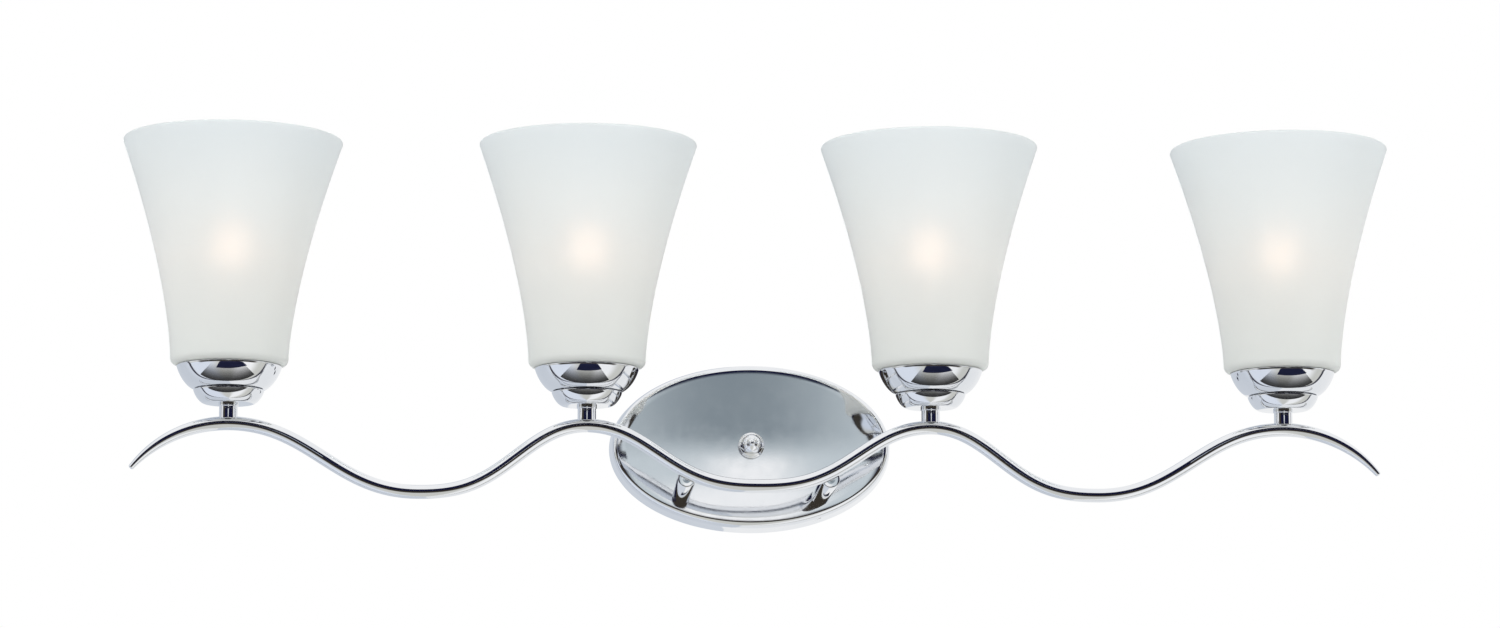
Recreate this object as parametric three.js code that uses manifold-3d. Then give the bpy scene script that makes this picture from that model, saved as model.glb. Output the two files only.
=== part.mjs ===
// Four-light wall vanity bar. A wavy round tube stands off the wall on two posts and carries four
// upright frosted-glass shades. Millimetres, +Z up, +X along the bar, +Y into the wall. The origin
// is the middle of the oval canopy, on the wall plane.
import * as THREE from "three";
import { mergeVertices } from "three/addons/utils/BufferGeometryUtils.js";
import Module from "manifold-3d";

const wasm = await Module();
wasm.setup();

// ---- Driving dimensions -------------------------------------------------------------------

// Clearances
const SEAT_GAP = 0.3; // between faces that rest on each other
const HOLE_GAP = 0.4; // round a piece that passes through a hole, on the radius
const TURN_GAP = 0.6; // round a piece that turns in a bore, on the radius

// Layout of the lights on the bar
const BAR_REACH = 135; // bar centreline in front of the wall
const INNER_CREST = 119; // from the middle of the bar to an inner crest
const TROUGH_SPAN = 115.8; // from an inner crest to the outer trough beside it
const OUTER_SPAN = 130.2; // from an outer trough to the outer crest
const INNER_DIP = 41.5; // depth of the middle wave
const OUTER_DIP = 46.7; // depth of the outer waves
const FLANK_SHARE = 0.03; // how far the flanks are steeper than a plain cosine
const TROUGH_BREADTH = 1.22; // over 1, the troughs beside an inner crest are broader than it

// Wave bar
const BAR_DIA = 9.5;
const BAR_WALL = 1.1;
const END_ARC_RADIUS = 85.5; // each end curls down on this arc
const END_ARC_ANGLE = 50; // degrees of arc from the outer crest to the tip
const BORE_ARC_ANGLE = 12; // degrees of that arc that stay hollow
const TIP_DIA = 4;
const WIRE_HOLE_DIA = 5.4; // drilled through the bar wall for the leads

// Stem between the bar and the holder
const STEM_DIA = 12.7;
const STEM_FOOT = 3; // height of the stem's foot above the bar centreline
const NECK_BOTTOM = 13.4; // underside of the neck dome above the bar centreline

// Neck dome and shade cup, both pressed from sheet
const SHEET = 1;
const NECK_HEIGHT = 9.5;
const NECK_FLOOR_DIA = 32;
const NECK_DIA = 48.5;
const CUP_HEIGHT = 16.3;
const CUP_FLOOR_DIA = 45;
const CUP_DIA = 72;

// Frosted glass shade
const GLASS_HEIGHT = 158;
const GLASS_BASE_DIA = 81;
const GLASS_RIM_DIA = 152.4;
const GLASS_WALL = 3.4;
const GLASS_FLOOR = 4;
const GLASS_HOLE_GAP = 2; // round the socket, on the radius
const GLASS_CORNER = 5; // radius round the bottom edge
const FLARE_POWER = 1.5; // how late the side opens out

// Threaded nipple up the middle of each light
const NIPPLE_DIA = 10.2;
const NIPPLE_BORE = 6.8;
const NIPPLE_LIFT = 1; // its foot above the top of the bar
const NIPPLE_END = 4.5; // how far it stands up inside the socket

// Medium screw socket and the ring that clamps the glass on it
const SOCKET_WALL = 3.8;
const SOCKET_HEIGHT = 42;
const SOCKET_FLOOR = 4;
const SHELL_WALL = 0.8;
const SHELL_HEIGHT = 26;
const RING_GRIP = 5; // how far the ring reaches over the glass floor, on the radius
const RING_HEIGHT = 7;
const RING_LIP = 2.5;

// Medium screw-base lamp bulb
const BASE_DIA = 26;
const BASE_HEIGHT = 24;
const BASE_LIFT = 12; // foot of the base above the socket floor
const BASE_WALL = 1.2;
const THREAD_GAP = 1; // between the base and the screw shell, on the radius
const CONTACT_DIA = 9.4;
const CONTACT_HEIGHT = 2.2;
const BULB_DIA = 60;
const BULB_WALL = 1;
const BULB_NECK_GAP = 0.8; // between the glass neck and the base, on the radius
const BULB_NECK_SINK = 6; // length of glass neck held in the base
const BULB_REACH = 53; // from the top of the base to the middle of the globe
const BULB_JOIN_ANGLE = -38; // degrees round the globe where the waist runs into it
const WAIST_LEAN = 1; // how far the waist opens out over its first pull
const WAIST_FOOT_PULL = 0.45; // shares of the waist's height that shape its curve
const WAIST_HEAD_PULL = 0.72;
const WAIST_HEAD_LEAN = 0.25;

// Canopy on the wall
const CANOPY_WIDTH = 203;
const CANOPY_HEIGHT = 120.6;
const CANOPY_DEPTH = 24;
const CANOPY_WALL = 1.2;
const CANOPY_EDGE = 7; // radius that rolls the face into the side
const CANOPY_DRAFT = 1.5; // inward lean of the side

// Posts from the canopy to the bar
const POST_SPACING = 99.6;
const POST_UNDER = 4.6; // post axis below the bar centreline that it carries
const POST_DIA = 12.7;
const POST_BORE = 6.4;
const POST_END_SETBACK = 2; // front face of a post behind the bar centreline
const POST_NOSE = 8; // solid length at the front of a post
const POST_STUD_DIA = 9.6;
const POST_STUD_LENGTH = 9; // threaded end inside the canopy
const POST_NUT_FLATS = 13;
const POST_NUT_HEIGHT = 4;

// Crossbar on the outlet box and the stud through the canopy
const CROSSBAR_LENGTH = 106;
const CROSSBAR_WIDTH = 18;
const CROSSBAR_THICKNESS = 2;
const BOX_SCREW_SPACING = 88.9; // 3 1/2 in, the spacing on a standard round outlet box
const BOX_SCREW_DIA = 4.2;
const BOX_SCREW_HEAD_DIA = 8.2;
const BOX_SCREW_HEAD = 2.4;
const BOX_SCREW_LENGTH = 14;
const GROUND_SCREW_OFFSET = 24;
const GROUND_SCREW_LENGTH = 5;
const STUD_DIA = 10.2;
const STUD_PROUD = 7.5; // length of the stud in front of the canopy face
const LOCKNUT_FLATS = 15;
const LOCKNUT_HEIGHT = 3;

// Finial knob that holds the canopy on
const FINIAL_WASHER_DIA = 16;
const FINIAL_WASHER_HEIGHT = 1;
const FINIAL_FLANGE_DIA = 18.6;
const FINIAL_FLANGE = 3;
const FINIAL_CHAMFER = 1;
const FINIAL_BALL_DIA = 14;
const FINIAL_BALL_LIFT = 10; // ball middle in front of the flange's back
const FINIAL_NECK_ANGLE = -60; // degrees round the ball where the flange runs into it
const FINIAL_NUB_DIA = 4.6;
const FINIAL_NUB = 2; // how far the nub stands out of the ball

// Leads
const LEAD_DIA = 4.4; // bundle inside the bar
const LEAD_END_DEPTH = 9; // where the bundle ends inside the canopy, in front of the wall

// Extra length of a cutter past the face it cuts, and of a piece joined inside another
const OVERRUN = 1;

// Fineness of the round pieces
const ROUND_LARGE = 18;
const ROUND_MEDIUM = 14;
const ROUND_SMALL = 10;
const ROUND_TINY = 8;
const ROUND_LEAD = 6;
const NUT_SIDES = 6;
const OVAL_STEPS = 36;
const WAVE_STEPS = 8; // along each half wave
const ARC_STEPS = 5; // along each end arc
const BEND_STEPS = 3; // round a rolled edge
const DISH_STEPS = 4; // up the wall of a pressed dish
const FLARE_STEPS = 6; // up the side of a shade
const WAIST_STEPS = 3; // along a bulb's shoulder
const GLOBE_STEPS = 5; // from a bulb's shoulder to its crown
const BALL_STEPS = 6; // over the finial's ball

// ---- Places worked out from the dimensions ------------------------------------------------

const BAR_RADIUS = BAR_DIA / 2;
const TROUGH_X = INNER_CREST + TROUGH_SPAN;
const OUTER_CREST = TROUGH_X + OUTER_SPAN;
const LIGHT_X = [-OUTER_CREST, -INNER_CREST, INNER_CREST, OUTER_CREST];
const POST_X = POST_SPACING / 2;
const POST_Z = waveHeight(POST_X) - POST_UNDER;
const POST_FRONT = -BAR_REACH + POST_END_SETBACK;
const CUP_BOTTOM = NECK_BOTTOM + NECK_HEIGHT + SEAT_GAP;
const CUP_FLOOR_TOP = CUP_BOTTOM + SHEET;
const CUP_TOP = CUP_BOTTOM + CUP_HEIGHT;
const GLASS_BOTTOM = CUP_TOP + SEAT_GAP;
const GLASS_TOP = GLASS_BOTTOM + GLASS_HEIGHT;
const SOCKET_BOTTOM = CUP_FLOOR_TOP + SEAT_GAP;
const SOCKET_FLOOR_TOP = SOCKET_BOTTOM + SOCKET_FLOOR;
const SOCKET_TOP = SOCKET_BOTTOM + SOCKET_HEIGHT;
const RING_BOTTOM = GLASS_BOTTOM + GLASS_FLOOR + SEAT_GAP;
const SHELL_TOP = SOCKET_TOP - SEAT_GAP;
const BASE_BOTTOM = SOCKET_FLOOR_TOP + BASE_LIFT;
const BASE_TOP = BASE_BOTTOM + BASE_HEIGHT;
const GLOBE_Z = BASE_TOP + BULB_REACH;
const FACE_Y = -CANOPY_DEPTH;
const NIPPLE_BOTTOM = BAR_RADIUS + NIPPLE_LIFT;
const NIPPLE_TOP = SOCKET_FLOOR_TOP + NIPPLE_END;
const NIPPLE_HOLE = NIPPLE_DIA + 2 * HOLE_GAP;
const SHELL_BORE = BASE_DIA + 2 * THREAD_GAP;
const SHELL_DIA = SHELL_BORE + 2 * SHELL_WALL;
const SOCKET_BORE = SHELL_DIA + 2 * HOLE_GAP;
const SOCKET_DIA = SOCKET_BORE + 2 * SOCKET_WALL;
const GLASS_HOLE_DIA = SOCKET_DIA + 2 * GLASS_HOLE_GAP;
const RING_DIA = GLASS_HOLE_DIA + 2 * RING_GRIP;
const BULB_NECK_DIA = BASE_DIA - 2 * (BASE_WALL + BULB_NECK_GAP);

// ---- Finishes -----------------------------------------------------------------------------

const FINISH = {
  chrome: { color: 0xc9ced3, roughness: 0.08, metalness: 1 },
  glass: { color: 0xe9efec, roughness: 0.6, metalness: 0, transparent: true, opacity: 0.8 },
  bulbGlass: { color: 0xfff1dd, roughness: 0.4, metalness: 0, transparent: true, opacity: 0.7 },
  zincSteel: { color: 0xaab0b4, roughness: 0.35, metalness: 1 },
  brass: { color: 0xc9a45a, roughness: 0.3, metalness: 1 },
  aluminium: { color: 0xc4c7ca, roughness: 0.3, metalness: 1 },
  ceramic: { color: 0xf3f0e8, roughness: 0.35, metalness: 0 },
  greenScrew: { color: 0x2f7d46, roughness: 0.4, metalness: 0.8 },
  leadCover: { color: 0x24262a, roughness: 0.6, metalness: 0 },
};

// ---- Solid helpers ------------------------------------------------------------------------

// A closed three.js geometry as a solid that can be joined and cut.
function solidOf(geometry) {
  const bare = geometry.clone();
  bare.deleteAttribute("normal");
  bare.deleteAttribute("uv");
  const merged = mergeVertices(bare, 1e-4);
  const faces = [];
  for (let i = 0; i < merged.index.count; i += 3) {
    const [a, b, c] = [0, 1, 2].map((k) => merged.index.getX(i + k));
    if (a !== b && b !== c && c !== a) {
      faces.push(a, b, c);
    }
  }
  return new wasm.Manifold(
    new wasm.Mesh({
      numProp: 3,
      vertProperties: new Float32Array(merged.attributes.position.array),
      triVerts: new Uint32Array(faces),
    }),
  );
}

// A solid as a named mesh of its own finish.
function part(name, solid, finish) {
  const raw = solid.getMesh();
  const geometry = new THREE.BufferGeometry();
  geometry.setAttribute("position", new THREE.BufferAttribute(raw.vertProperties, raw.numProp));
  geometry.setIndex(new THREE.BufferAttribute(raw.triVerts, 1));
  geometry.computeVertexNormals();
  const mesh = new THREE.Mesh(geometry, new THREE.MeshStandardMaterial(FINISH[finish]));
  mesh.name = name;
  return mesh;
}

// A profile of [radius, height] points turned round +Z. Its faces point out whichever way the
// points run.
function turned(profile, segments) {
  const points = profile.map(([radius, height]) => new THREE.Vector2(radius, height));
  const area = THREE.ShapeUtils.area(points);
  if (area < 0) {
    points.reverse();
  }
  const closesOnItself = points[0].x > 0 || points[points.length - 1].x > 0;
  if (closesOnItself) {
    points.push(points[0].clone());
  }
  return solidOf(new THREE.LatheGeometry(points, segments).rotateX(Math.PI / 2));
}

// A disc or rod round +Z, from one height to another.
function rod(diameter, bottom, top, segments) {
  const radius = diameter / 2;
  return turned([[0, bottom], [radius, bottom], [radius, top], [0, top]], segments);
}

// A round tube round +Z.
function tube(outerDia, innerDia, bottom, top, segments) {
  const outer = outerDia / 2;
  const inner = innerDia / 2;
  return turned([[inner, bottom], [outer, bottom], [outer, top], [inner, top]], segments);
}

// A rod along +Y at one place in X and Z.
function rodAlongY(diameter, fromY, toY, x, z, segments) {
  const length = toY - fromY;
  const geometry = new THREE.CylinderGeometry(diameter / 2, diameter / 2, length, segments);
  return solidOf(geometry.translate(x, fromY + length / 2, z));
}

// A six-sided nut along +Y with a round hole.
function nutAlongY(flats, holeDia, fromY, toY, x, z) {
  const corner = flats / 2 / Math.cos(Math.PI / NUT_SIDES);
  const outline = new THREE.Shape();
  for (let i = 0; i < NUT_SIDES; i += 1) {
    const angle = (i / NUT_SIDES) * 2 * Math.PI;
    const [px, pz] = [corner * Math.cos(angle), corner * Math.sin(angle)];
    if (i === 0) {
      outline.moveTo(px, pz);
    } else {
      outline.lineTo(px, pz);
    }
  }
  const height = toY - fromY;
  const block = new THREE.ExtrudeGeometry(outline, { depth: height, bevelEnabled: false });
  const placed = solidOf(block.rotateX(-Math.PI / 2).translate(x, fromY, z));
  const hole = rodAlongY(holeDia, fromY - OVERRUN, toY + OVERRUN, x, z, ROUND_SMALL);
  return placed.subtract(hole);
}

// A closed skin over rings that all hold the same number of points, closed by a hub at each end.
function skinned(rings, startHub, endHub) {
  const sides = rings[0].length;
  const last = rings.length - 1;
  const positions = [...rings.flat(), startHub, endHub].flat();
  const startIndex = rings.length * sides;
  const endIndex = startIndex + 1;
  const faces = [];
  for (let i = 0; i < sides; i += 1) {
    const next = (i + 1) % sides;
    for (let ring = 0; ring < last; ring += 1) {
      const [a, b] = [ring * sides + i, ring * sides + next];
      const [c, d] = [a + sides, b + sides];
      faces.push(a, b, c, b, d, c);
    }
    faces.push(startIndex, next, i);
    faces.push(endIndex, last * sides + i, last * sides + next);
  }
  const geometry = new THREE.BufferGeometry();
  geometry.setAttribute("position", new THREE.Float32BufferAttribute(positions, 3));
  geometry.setIndex(faces);
  return solidOf(geometry);
}

// A round tube swept along a curve that lies in an XZ plane. stops holds the centre of each ring,
// its slope angle and its radius.
function sweptInPlane(stops, y, sides) {
  const rings = stops.map(({ x, z, slope, radius }) => {
    const ring = [];
    for (let i = 0; i < sides; i += 1) {
      const angle = (i / sides) * 2 * Math.PI;
      const across = radius * Math.cos(angle);
      const [dx, dz] = [-across * Math.sin(slope), across * Math.cos(slope)];
      ring.push([x + dx, y - radius * Math.sin(angle), z + dz]);
    }
    return ring;
  });
  const [first, last] = [stops[0], stops[stops.length - 1]];
  return skinned(rings, [first.x, y, first.z], [last.x, y, last.z]);
}

// A straight round bar between two points.
function strut(from, to, diameter, segments) {
  const way = new THREE.Vector3().subVectors(to, from);
  const geometry = new THREE.CylinderGeometry(diameter / 2, diameter / 2, way.length(), segments);
  const turn = new THREE.Quaternion().setFromUnitVectors(
    new THREE.Vector3(0, 1, 0),
    way.clone().normalize(),
  );
  geometry.applyQuaternion(turn);
  const middle = new THREE.Vector3().addVectors(from, to).multiplyScalar(1 / 2);
  return solidOf(geometry.translate(middle.x, middle.y, middle.z));
}

// ---- Wave of the bar ----------------------------------------------------------------------

// Half a wave as a share of its depth: 1 in the trough, at turn 0, and 0 on the crest, at turn 1.
function halfWave(turn, breadth) {
  const angle = Math.PI * turn ** breadth;
  const swing = (Math.cos(angle) - FLANK_SHARE * Math.cos(3 * angle)) / (1 - FLANK_SHARE);
  return (1 + swing) / 2;
}

// Height of the bar centreline at x, between the two outer crests. The crests are at height 0.
function waveHeight(x) {
  const away = Math.abs(x);
  if (away <= INNER_CREST) {
    return -INNER_DIP * halfWave(away / INNER_CREST, TROUGH_BREADTH);
  }
  if (away <= TROUGH_X) {
    return -OUTER_DIP * halfWave((TROUGH_X - away) / TROUGH_SPAN, TROUGH_BREADTH);
  }
  return -OUTER_DIP * halfWave((away - TROUGH_X) / OUTER_SPAN, 1);
}

// Slope angle of the bar centreline at x, between the two outer crests.
function waveSlope(x) {
  const step = 0.01;
  return Math.atan2(waveHeight(x + step) - waveHeight(x - step), 2 * step);
}

// Rings along the whole bar, out to a given angle round each end arc. radiusAt gives the radius
// from the share of the end arc that is used up: 0 between the outer crests, 1 at a tip.
function barRings(endAngle, radiusAt) {
  const rises = [INNER_CREST, TROUGH_X, OUTER_CREST];
  const turns = [...rises.map((x) => -x).reverse(), 0, ...rises];
  const rings = [];
  turns.slice(0, -1).forEach((start, i) => {
    const end = turns[i + 1];
    for (let k = 0; k < WAVE_STEPS; k += 1) {
      const x = start + ((end - start) * k) / WAVE_STEPS;
      rings.push({ x, z: waveHeight(x), slope: waveSlope(x), radius: radiusAt(0) });
    }
  });
  for (let k = 0; k <= ARC_STEPS; k += 1) {
    const share = k / ARC_STEPS;
    const angle = share * endAngle;
    const out = OUTER_CREST + END_ARC_RADIUS * Math.sin(angle);
    const z = -END_ARC_RADIUS * (1 - Math.cos(angle));
    rings.push({ x: out, z, slope: -angle, radius: radiusAt(share) });
    if (k > 0) {
      rings.unshift({ x: -out, z, slope: angle, radius: radiusAt(share) });
    }
  }
  return rings;
}

const toRadians = THREE.MathUtils.degToRad;

// The bar's outside, swollen by a gap where another piece is to clear it.
function barOutside(gap) {
  const taper = (share) => BAR_RADIUS - (BAR_RADIUS - TIP_DIA / 2) * share ** 2 + gap;
  return sweptInPlane(barRings(toRadians(END_ARC_ANGLE), taper), -BAR_REACH, ROUND_TINY);
}

// The way of the leads between a post and the bar: a slanted hole through both walls.
function leadWay(side, diameter) {
  const onBar = new THREE.Vector3(side * POST_X, -BAR_REACH, waveHeight(POST_X));
  const bendY = POST_FRONT + POST_NOSE + POST_BORE / 2;
  const inPost = new THREE.Vector3(side * POST_X, bendY, POST_Z);
  return strut(onBar, inPost, diameter, ROUND_TINY);
}

function waveBar() {
  const boreRadius = BAR_RADIUS - BAR_WALL;
  const bore = sweptInPlane(
    barRings(toRadians(BORE_ARC_ANGLE), () => boreRadius),
    -BAR_REACH,
    ROUND_TINY,
  );
  let bar = barOutside(0).subtract(bore);
  LIGHT_X.forEach((x) => {
    const hole = rod(WIRE_HOLE_DIA, 0, BAR_DIA, ROUND_TINY);
    bar = bar.subtract(hole.translate([x, -BAR_REACH, 0]));
  });
  [-1, 1].forEach((side) => {
    bar = bar.subtract(leadWay(side, WIRE_HOLE_DIA));
  });
  return bar;
}

// ---- One light ----------------------------------------------------------------------------

// A corner of a pressed piece: points round a quarter ellipse from its low inner end to its high
// outer end.
function bowl(innerRadius, outerRadius, bottom, top, steps) {
  const points = [];
  for (let k = 0; k <= steps; k += 1) {
    const angle = ((k / steps) * Math.PI) / 2;
    const radius = innerRadius + (outerRadius - innerRadius) * Math.sin(angle);
    points.push([radius, bottom + (top - bottom) * (1 - Math.cos(angle))]);
  }
  return points;
}

// A dish pressed from sheet: a flat floor with a hole, and a rounded wall up to an open rim.
function pressedDish(floorDia, rimDia, holeDia, bottom, top) {
  const outside = bowl(floorDia / 2, rimDia / 2, bottom, top, DISH_STEPS);
  const inside = bowl(floorDia / 2, rimDia / 2 - SHEET, bottom + SHEET, top, DISH_STEPS);
  const hole = holeDia / 2;
  return turned(
    [[hole, bottom], ...outside, ...inside.reverse(), [hole, bottom + SHEET]],
    ROUND_LARGE,
  );
}

// The stem is a short tube whose foot straddles the bar.
function stem(x) {
  const body = tube(STEM_DIA, NIPPLE_HOLE, STEM_FOOT, NECK_BOTTOM - SEAT_GAP, ROUND_MEDIUM);
  return body.subtract(barOutside(SEAT_GAP).translate([-x, BAR_REACH, 0]));
}

function neckDome() {
  const top = NECK_BOTTOM + NECK_HEIGHT;
  return pressedDish(NECK_FLOOR_DIA, NECK_DIA, NIPPLE_HOLE, NECK_BOTTOM, top);
}

function shadeCup() {
  return pressedDish(CUP_FLOOR_DIA, CUP_DIA, NIPPLE_HOLE, CUP_BOTTOM, CUP_TOP);
}

function nipple() {
  return tube(NIPPLE_DIA, NIPPLE_BORE, NIPPLE_BOTTOM, NIPPLE_TOP, ROUND_SMALL);
}

function socketBody() {
  const outer = SOCKET_DIA / 2;
  const bore = SOCKET_BORE / 2;
  const hole = NIPPLE_HOLE / 2;
  return turned(
    [
      [hole, SOCKET_BOTTOM],
      [outer, SOCKET_BOTTOM],
      [outer, SOCKET_TOP],
      [bore, SOCKET_TOP],
      [bore, SOCKET_FLOOR_TOP],
      [hole, SOCKET_FLOOR_TOP],
    ],
    ROUND_MEDIUM,
  );
}

// The screw shell lines the top of the socket.
function socketShell() {
  return tube(SHELL_DIA, SHELL_BORE, SHELL_TOP - SHELL_HEIGHT, SHELL_TOP, ROUND_MEDIUM);
}

// The shade ring screws on the socket and its flange presses on the glass floor.
function shadeRing() {
  const bore = SOCKET_DIA / 2 + HOLE_GAP;
  const skirt = bore + RING_LIP;
  return turned(
    [
      [bore, RING_BOTTOM],
      [RING_DIA / 2, RING_BOTTOM],
      [RING_DIA / 2, RING_BOTTOM + RING_LIP],
      [skirt, RING_BOTTOM + RING_LIP],
      [skirt, RING_BOTTOM + RING_HEIGHT],
      [bore, RING_BOTTOM + RING_HEIGHT],
    ],
    ROUND_MEDIUM,
  );
}

// Points up the side of the shade, flaring from the base to the rim, at a depth inside its outer
// face.
function flare(inset, bottom, top, steps) {
  const points = [];
  const from = GLASS_BOTTOM + GLASS_CORNER;
  const rimRadius = GLASS_RIM_DIA / 2;
  const baseRadius = GLASS_BASE_DIA / 2;
  for (let k = 0; k <= steps; k += 1) {
    const z = bottom + ((top - bottom) * k) / steps;
    const share = Math.max(0, (z - from) / (GLASS_TOP - from));
    points.push([baseRadius + (rimRadius - baseRadius) * share ** FLARE_POWER - inset, z]);
  }
  return points;
}

function shadeGlass() {
  const floorTop = GLASS_BOTTOM + GLASS_FLOOR;
  const hole = GLASS_HOLE_DIA / 2;
  const lip = GLASS_WALL / 2;
  const sideBottom = GLASS_BOTTOM + GLASS_CORNER;
  const corner = bowl(
    GLASS_BASE_DIA / 2 - GLASS_CORNER,
    GLASS_BASE_DIA / 2,
    GLASS_BOTTOM,
    sideBottom,
    BEND_STEPS,
  );
  const outside = flare(0, sideBottom, GLASS_TOP - lip, FLARE_STEPS).slice(1);
  const inside = flare(GLASS_WALL, floorTop, GLASS_TOP - lip, FLARE_STEPS).reverse();
  const crown = [flare(lip, GLASS_TOP, GLASS_TOP, 1)[0]];
  return turned(
    [[hole, GLASS_BOTTOM], ...corner, ...outside, ...crown, ...inside, [hole, floorTop]],
    ROUND_LARGE,
  );
}

// The bulb's metal base is a thimble: a floor round the contact and a thin threaded wall.
function bulbBase() {
  const outer = BASE_DIA / 2;
  const hole = CONTACT_DIA / 2 + TURN_GAP;
  const inner = outer - BASE_WALL;
  const taper = 2 * BASE_WALL;
  return turned(
    [
      [hole, BASE_BOTTOM],
      [outer - taper, BASE_BOTTOM],
      [outer, BASE_BOTTOM + taper],
      [outer, BASE_TOP],
      [inner, BASE_TOP],
      [inner, BASE_BOTTOM + taper],
      [hole, BASE_BOTTOM + taper],
    ],
    ROUND_MEDIUM,
  );
}

function bulbContact() {
  const bottom = BASE_BOTTOM - CONTACT_HEIGHT / 2;
  return rod(CONTACT_DIA, bottom, bottom + CONTACT_HEIGHT, ROUND_SMALL);
}

// One face of the bulb's glass, from the open neck in the base to the crown of the globe. The
// neck runs into the globe on a smooth curve.
function bulbFace(inset) {
  const globe = BULB_DIA / 2 - inset;
  const neck = BULB_NECK_DIA / 2 - inset;
  const foot = BASE_TOP + 2 * BASE_WALL;
  const joinAngle = toRadians(BULB_JOIN_ANGLE);
  const onGlobe = (angle) => [globe * Math.cos(angle), GLOBE_Z + globe * Math.sin(angle)];
  const [joinRadius, joinZ] = onGlobe(joinAngle);
  const rise = joinZ - foot;
  const headRadius = joinRadius + rise * WAIST_HEAD_LEAN * Math.sin(joinAngle);
  const waist = new THREE.CubicBezierCurve(
    new THREE.Vector2(neck, foot),
    new THREE.Vector2(neck + WAIST_LEAN, foot + rise * WAIST_FOOT_PULL),
    new THREE.Vector2(headRadius, foot + rise * WAIST_HEAD_PULL),
    new THREE.Vector2(joinRadius, joinZ),
  );
  const points = [[neck, BASE_TOP - BULB_NECK_SINK]];
  waist.getPoints(WAIST_STEPS).forEach((p) => points.push([p.x, p.y]));
  for (let k = 1; k < GLOBE_STEPS; k += 1) {
    points.push(onGlobe(joinAngle + ((Math.PI / 2 - joinAngle) * k) / GLOBE_STEPS));
  }
  points.push([0, GLOBE_Z + globe]);
  return points;
}

function bulbGlass() {
  return turned([...bulbFace(0), ...bulbFace(BULB_WALL).reverse()], ROUND_SMALL);
}

// ---- Canopy and its fittings --------------------------------------------------------------

// One ring of the canopy: an oval inset from the outline, at a height in front of the wall.
function ovalRing(inset, height) {
  const ring = [];
  for (let i = 0; i < OVAL_STEPS; i += 1) {
    const angle = (i / OVAL_STEPS) * 2 * Math.PI;
    const x = (CANOPY_WIDTH / 2 - inset) * Math.cos(angle);
    const z = (CANOPY_HEIGHT / 2 - inset) * Math.sin(angle);
    ring.push([x, -height, z]);
  }
  return ring;
}

// The canopy's skin as ovals from the wall to the face. A depth inside the outer face is added
// on the side, the rolled edge and the face alike.
function canopySkin(inset) {
  const edge = CANOPY_EDGE - inset;
  const shoulder = CANOPY_DEPTH - CANOPY_EDGE;
  const ovals = [ovalRing(inset, 0)];
  for (let k = 0; k <= BEND_STEPS; k += 1) {
    const angle = ((k / BEND_STEPS) * Math.PI) / 2;
    const into = CANOPY_DRAFT + CANOPY_EDGE - edge * Math.cos(angle);
    ovals.push(ovalRing(into, shoulder + edge * Math.sin(angle)));
  }
  return ovals;
}

function canopy() {
  const ovals = [...canopySkin(CANOPY_WALL).reverse(), ...canopySkin(0)];
  const studHole = STUD_DIA + 2 * HOLE_GAP;
  const postHole = POST_STUD_DIA + 2 * HOLE_GAP;
  const [front, back] = [FACE_Y - CANOPY_WALL, FACE_Y + 2 * CANOPY_WALL];
  let shell = skinned(ovals, [0, FACE_Y + CANOPY_WALL, 0], [0, FACE_Y, 0]);
  shell = shell.subtract(rodAlongY(studHole, front, back, 0, 0, ROUND_SMALL));
  [-1, 1].forEach((side) => {
    const x = side * POST_X;
    shell = shell.subtract(rodAlongY(postHole, front, back, x, POST_Z, ROUND_SMALL));
  });
  return shell;
}

// A post is a turned rod, bored from the back, with a threaded end and a notch for the bar.
function post(side) {
  const x = side * POST_X;
  const seatY = FACE_Y - SEAT_GAP;
  const endY = FACE_Y + CANOPY_WALL + POST_STUD_LENGTH;
  const boreFrom = POST_FRONT + POST_NOSE;
  return rodAlongY(POST_DIA, POST_FRONT, seatY, x, POST_Z, ROUND_MEDIUM)
    .add(rodAlongY(POST_STUD_DIA, seatY - OVERRUN, endY, x, POST_Z, ROUND_MEDIUM))
    .subtract(rodAlongY(POST_BORE, boreFrom, endY + OVERRUN, x, POST_Z, ROUND_TINY))
    .subtract(barOutside(SEAT_GAP))
    .subtract(leadWay(side, WIRE_HOLE_DIA));
}

function postNut(side) {
  const fromY = FACE_Y + CANOPY_WALL + SEAT_GAP;
  const hole = POST_STUD_DIA + 2 * HOLE_GAP;
  return nutAlongY(POST_NUT_FLATS, hole, fromY, fromY + POST_NUT_HEIGHT, side * POST_X, POST_Z);
}

function crossbar() {
  const half = CROSSBAR_LENGTH / 2 - CROSSBAR_WIDTH / 2;
  const outline = new THREE.Shape();
  outline.absarc(half, 0, CROSSBAR_WIDTH / 2, -Math.PI / 2, Math.PI / 2, false);
  outline.absarc(-half, 0, CROSSBAR_WIDTH / 2, Math.PI / 2, (3 * Math.PI) / 2, false);
  const plate = new THREE.ExtrudeGeometry(outline, {
    depth: CROSSBAR_THICKNESS,
    bevelEnabled: false,
    curveSegments: ROUND_TINY,
  });
  const front = -CROSSBAR_THICKNESS;
  let bar = solidOf(plate.rotateX(-Math.PI / 2).translate(0, front, 0));
  const holes = [
    [0, STUD_DIA + 2 * HOLE_GAP],
    [-BOX_SCREW_SPACING / 2, BOX_SCREW_DIA + 2 * HOLE_GAP],
    [BOX_SCREW_SPACING / 2, BOX_SCREW_DIA + 2 * HOLE_GAP],
    [GROUND_SCREW_OFFSET, BOX_SCREW_DIA + 2 * HOLE_GAP],
  ];
  holes.forEach(([x, diameter]) => {
    bar = bar.subtract(rodAlongY(diameter, front - OVERRUN, OVERRUN, x, 0, ROUND_SMALL));
  });
  return bar;
}

// A pan-head screw that enters the crossbar from the front.
function crossbarScrew(x, length) {
  const headBack = -CROSSBAR_THICKNESS - SEAT_GAP;
  const headFront = headBack - BOX_SCREW_HEAD;
  return rodAlongY(BOX_SCREW_HEAD_DIA, headFront, headBack, x, 0, ROUND_SMALL).add(
    rodAlongY(BOX_SCREW_DIA, headBack - OVERRUN, headBack + length, x, 0, ROUND_SMALL),
  );
}

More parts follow.
